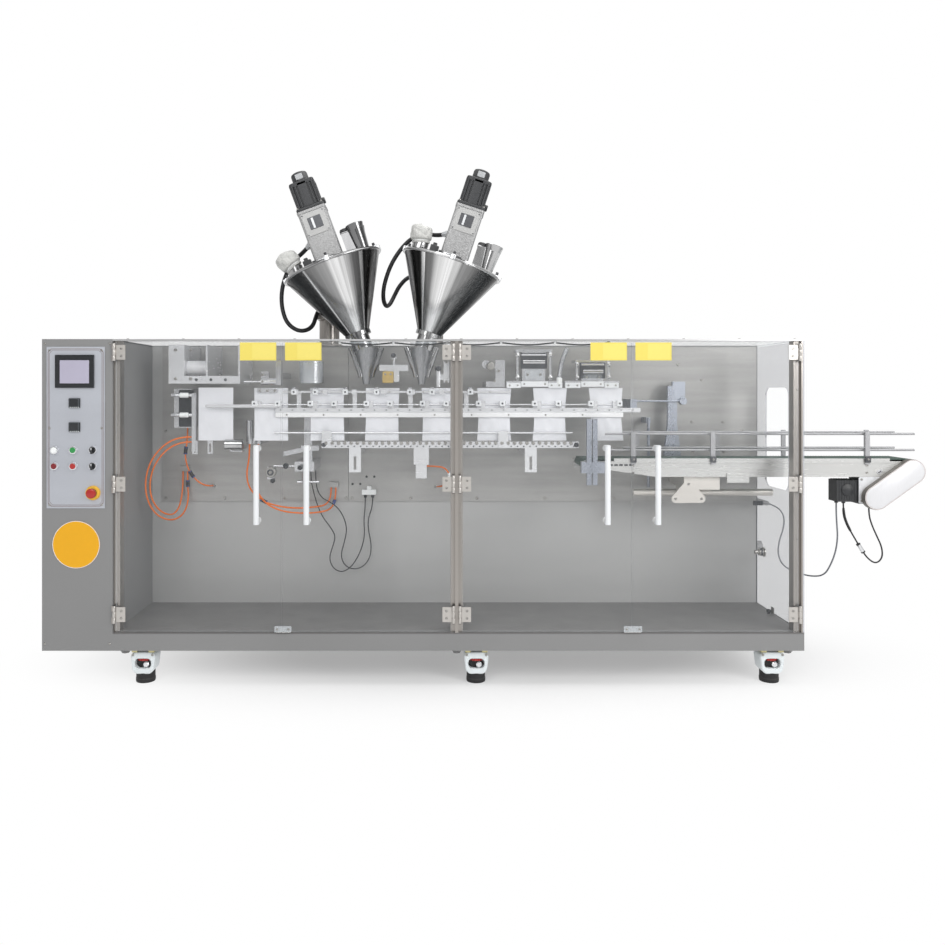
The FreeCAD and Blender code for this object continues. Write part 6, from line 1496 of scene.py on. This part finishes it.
def wall_connectors():
    """Pale connector blocks on the wall that the cables end in, with a small stem."""
    shape = Shape()
    shape.add(placed_slab((1.3200, 0.4875, 0.7535), (1.3885, 0.5125, 0.7790), 0.004),
              "white_plastic_and_highlight")
    shape.add(placed_slab((1.3440, 0.4900, 0.7780), (1.3660, 0.5125, 0.7960), 0.004),
              "white_plastic_and_highlight")
    for x in (1.336, 1.372):
        shape.add(lathe((x, 0.500, 0.7538), (0, 0, -1),
                        [(0, 0.0075), (0.010, 0.0070), (0.016, 0.0042)], 16), "rubber_black")
    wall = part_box("side_panel")[0].x - LEFT
    shape.add(lathe((wall, 0.420, 0.491), (-1, 0, 0),
                    [(-0.001, 0.022), (0.004, 0.022), (0.006, 0.017), (0.026, 0.0165),
                     (0.029, 0.010), (0.044, 0.009), (0.046, 0.006)], 28), "screw_steel")
    shape.add(lathe((wall - 0.010, 0.420, 0.491), (-1, 0, 0),
                    [(0, 0.0178), (0.010, 0.0178)], 28), "dark_steel")
    shape.add(lathe((wall, 0.445, 0.720), (-1, 0, 0),
                    [(-0.001, 0.012)] + [(0.004 + 0.0045 * i, 0.012 - 0.002 * (i % 2))
                                         for i in range(9)], 20), "dark_steel")
    shape.add(placed_slab((wall - 0.034, 0.300, 0.2208), (wall, 0.330, 0.2250), 0.003,
                          axis="Z"), "screw_steel")
    shape.add(placed_slab((wall - 0.004, 0.300, 0.2208), (wall + 0.0004, 0.330, 0.2560), 0.003,
                          axis="X"), "screw_steel")
    shape.add(lathe((wall - 0.020, 0.315, 0.2245), (0, 0, 1),
                    [(0, 0.007), (0.008, 0.007), (0.010, 0.010), (0.020, 0.010),
                     (0.022, 0.006)], 16), "black_gloss")
    shape.build("wall_connectors", slot="wall_steel")


# Stage and camera

def white_floor():
    """A pale floor that keeps the machine's shadow and is plain white to the camera."""
    mesh = bpy.data.meshes.new("floor")
    size = 30
    mesh.from_pydata([(-size, -size, -0.0005), (size, -size, -0.0005), (size, size, -0.0005),
                      (-size, size, -0.0005)], [], [(0, 1, 2, 3)])
    floor = bpy.data.objects.new("floor", mesh)
    bpy.context.scene.collection.objects.link(floor)
    material = bpy.data.materials.new("pale_floor")
    material.use_nodes = True
    nodes, links = material.node_tree.nodes, material.node_tree.links
    shader = nodes["Principled BSDF"]
    shader.inputs["Base Color"].default_value = (0.93, 0.93, 0.93, 1)
    shader.inputs["Roughness"].default_value = 0.75
    # past the machine's shadow the floor turns into plain white
    place = nodes.new("ShaderNodeTexCoord")
    shrink = nodes.new("ShaderNodeMapping")
    shrink.inputs["Scale"].default_value = (1 / 2.3, 1 / 1.05, 0)
    reach = nodes.new("ShaderNodeVectorMath")
    reach.operation = "LENGTH"
    fade = nodes.new("ShaderNodeMapRange")
    fade.interpolation_type = "SMOOTHSTEP"
    fade.inputs["From Min"].default_value = 0.35
    fade.inputs["To Min"].default_value = 0.3
    white = nodes.new("ShaderNodeEmission")
    blend = nodes.new("ShaderNodeMixShader")
    output = nodes["Material Output"]
    links.new(place.outputs["Object"], shrink.inputs["Vector"])
    links.new(shrink.outputs["Vector"], reach.inputs[0])
    links.new(reach.outputs["Value"], fade.inputs["Value"])
    links.new(fade.outputs["Result"], blend.inputs[0])
    links.new(shader.outputs[0], blend.inputs[1])
    links.new(white.outputs[0], blend.inputs[2])
    links.new(blend.outputs[0], output.inputs["Surface"])
    mesh.materials.append(material)
    return floor


def studio_walls(nodes, links, room):
    """The room the metal mirrors: bright strips over mid grey, from the view direction's
    height and its turn, so that polished faces have light and dark bands."""
    way = nodes.new("ShaderNodeTexCoord")
    bend = nodes.new("ShaderNodeMapping")
    bend.inputs["Scale"].default_value = (1.3, 1.0, 1.9)
    bands = nodes.new("ShaderNodeTexNoise")
    bands.inputs["Scale"].default_value = 1.6
    bands.inputs["Detail"].default_value = 1.5
    ramp = nodes.new("ShaderNodeValToRGB")
    ramp.color_ramp.elements[0].position = 0.40
    ramp.color_ramp.elements[0].color = (0.28, 0.28, 0.29, 1)
    ramp.color_ramp.elements[1].position = 0.56
    ramp.color_ramp.elements[1].color = (1, 1, 1, 1)
    links.new(way.outputs["Generated"], bend.inputs["Vector"])
    links.new(bend.outputs["Vector"], bands.inputs["Vector"])
    links.new(bands.outputs["Fac"], ramp.inputs["Fac"])
    links.new(ramp.outputs["Color"], room.inputs["Color"])


def build_stage(looks):
    """Camera at the photo's place, soft studio light, floor and white background."""
    scene = bpy.context.scene
    lens = bpy.data.cameras.new("photo_camera")
    lens.lens, lens.sensor_width = 32.36, 36
    lens.shift_x, lens.shift_y = 0.045, -0.0852
    lens.clip_end = 100
    camera = bpy.data.objects.new("photo_camera", lens)
    camera.location = (-0.2705, -4.085, 1.25)
    camera.rotation_euler = (math.pi / 2, 0, 0)
    scene.collection.objects.link(camera)
    scene.camera = camera
    scene.view_settings.view_transform = "Standard"
    lamps = []
    for name, place, aim, size, power in (
            ("front_light", (-1.5, -4.6, 3.6), (0.3, 0, 1.0), (3.4, 2.4), 0.66),
            ("right_light", (3.3, -3.8, 2.6), (1.0, 0, 0.6), (2.4, 2.4), 0.86),
            ("top_light", (0.8, -0.3, 4.6), (0.8, 0.1, 0.9), (4.6, 3.0), 0.8)):
        data = bpy.data.lights.new(name, "AREA")
        data.shape = "RECTANGLE"
        data.size, data.size_y = size
        data.energy = looks.light_power * power
        lamp = bpy.data.objects.new(name, data)
        lamp.location = place
        way = Vector(aim) - Vector(place)
        lamp.rotation_euler = way.to_track_quat("-Z", "Y").to_euler()
        scene.collection.objects.link(lamp)
        lamps.append(lamp)
    world = scene.world or bpy.data.worlds.new("studio")
    scene.world = world
    world.use_nodes = True
    nodes, links = world.node_tree.nodes, world.node_tree.links
    nodes.clear()
    output = nodes.new("ShaderNodeOutputWorld")
    room = nodes.new("ShaderNodeBackground")
    studio_walls(nodes, links, room)
    room.inputs["Strength"].default_value = looks.room_light
    seen = nodes.new("ShaderNodeBackground")
    seen.inputs["Color"].default_value = (1, 1, 1, 1)
    seen.inputs["Strength"].default_value = 1
    ray = nodes.new("ShaderNodeLightPath")
    either = nodes.new("ShaderNodeMath")
    either.operation = "MAXIMUM"
    choice = nodes.new("ShaderNodeMixShader")
    links.new(ray.outputs["Is Camera Ray"], either.inputs[0])
    links.new(ray.outputs["Is Transmission Ray"], either.inputs[1])
    links.new(either.outputs[0], choice.inputs[0])
    links.new(room.outputs[0], choice.inputs[1])
    links.new(seen.outputs[0], choice.inputs[2])
    links.new(choice.outputs[0], output.inputs[0])
    white_floor()


# The add-on

class MachineLooks(bpy.types.PropertyGroup):
    cabinet_colour: bpy.props.FloatVectorProperty(
        name="Cabinet colour", description="Paint of the cabinet and the beams",
        subtype="COLOR", default=linear(132, 132, 132), min=0, max=1)
    badge_colour: bpy.props.FloatVectorProperty(
        name="Badge colour", description="Round bare badge below the control panel",
        subtype="COLOR", default=linear(228, 166, 10), min=0, max=1)
    label_colour: bpy.props.FloatVectorProperty(
        name="Plate colour", description="Bare plates on the doors",
        subtype="COLOR", default=linear(222, 204, 96), min=0, max=1)
    belt_colour: bpy.props.FloatVectorProperty(
        name="Belt colour", description="The outfeed belt", subtype="COLOR",
        default=linear(72, 90, 82), min=0, max=1)
    pouch_colour: bpy.props.FloatVectorProperty(
        name="Pouch colour", description="Film and pouches", subtype="COLOR",
        default=linear(222, 223, 227), min=0, max=1)
    air_hose_colour: bpy.props.FloatVectorProperty(
        name="Air hose colour", description="The thin air hoses", subtype="COLOR",
        default=linear(230, 112, 14), min=0, max=1)
    light_power: bpy.props.FloatProperty(
        name="Light power", description="Power of the studio lamps", default=115, min=0,
        unit="POWER")
    room_light: bpy.props.FloatProperty(
        name="Room light", description="Strength of the even light from all sides",
        default=0.7, min=0)




class MACHINE_OT_finishes(bpy.types.Operator):
    """Makes the finishes and gives each solid its own"""
    bl_idname = "machine.finishes"
    bl_label = "Finishes"

    def execute(self, context):
        make_finishes(context.scene.machine_looks)
        dress_nodes()
        return {"FINISHED"}


class MACHINE_OT_cords(bpy.types.Operator):
    """Lays the hoses and cables"""
    bl_idname = "machine.cords"
    bl_label = "Hoses and cables"

    def execute(self, context):
        for label in CORDS:
            make_cord(label)
        return {"FINISHED"}


class MACHINE_OT_front(bpy.types.Operator):
    """Makes the pieces of the control panel, doors and posts"""
    bl_idname = "machine.front"
    bl_label = "Panel and doors"

    def execute(self, context):
        panel_details()
        for k in DOORS:
            door_details(k)
        post_details()
        door_latches().build("door_latches", slot="door_hardware")
        return {"FINISHED"}


class MACHINE_OT_hoppers(bpy.types.Operator):
    """Makes the hoppers' skins, drives, lids and cloth caps"""
    bl_idname = "machine.hoppers"
    bl_label = "Hoppers"

    def execute(self, context):
        for k in HOPPERS:
            hopper_skin(k)
            hopper_drive(k)
            hopper_top(k)
            cloth_bag(k)
        discharge_tubes()
        return {"FINISHED"}


class MACHINE_OT_line(bpy.types.Operator):
    """Makes the film, the pouches and the stations' fittings"""
    bl_idname = "machine.line"
    bl_label = "Pouch line"

    def execute(self, context):
        pouches()
        rail_details()
        roller_details()
        film_details()
        station_details()
        return {"FINISHED"}


class MACHINE_OT_frame(bpy.types.Operator):
    """Makes the fittings of the frame, walls, casters and conveyor"""
    bl_idname = "machine.frame"
    bl_label = "Frame and conveyor"

    def execute(self, context):
        frame_details()
        wall_details()
        caster_details()
        rail_cable()
        wall_connectors()
        conveyor_details()
        belt_skin()
        return {"FINISHED"}


class MACHINE_OT_stage(bpy.types.Operator):
    """Sets the camera, the light and the floor"""
    bl_idname = "machine.stage"
    bl_label = "Stage"

    def execute(self, context):
        build_stage(context.scene.machine_looks)
        return {"FINISHED"}


STEPS = (MACHINE_OT_finishes, MACHINE_OT_cords, MACHINE_OT_front, MACHINE_OT_hoppers,
         MACHINE_OT_line, MACHINE_OT_frame, MACHINE_OT_stage)


class MACHINE_PT_panel(bpy.types.Panel):
    """Steps and colours of the machine"""
    bl_label = "Form fill seal machine"
    bl_space_type = "VIEW_3D"
    bl_region_type = "UI"
    bl_category = "Packaging line"

    def draw(self, context):
        looks = context.scene.machine_looks
        for name in MachineLooks.__annotations__:
            self.layout.prop(looks, name)
        for step in STEPS:
            self.layout.operator(step.bl_idname)


CLASSES = (MachineLooks, *STEPS, MACHINE_PT_panel)


def register():
    for item in CLASSES:
        bpy.utils.register_class(item)
    bpy.types.Scene.machine_looks = bpy.props.PointerProperty(type=MachineLooks)


def unregister():
    del bpy.types.Scene.machine_looks
    for item in reversed(CLASSES):
        bpy.utils.unregister_class(item)


def main():
    register()
    for step in STEPS:
        group, name = step.bl_idname.split(".")
        getattr(getattr(bpy.ops, group), name)()


if __name__ == "__main__":
    main()
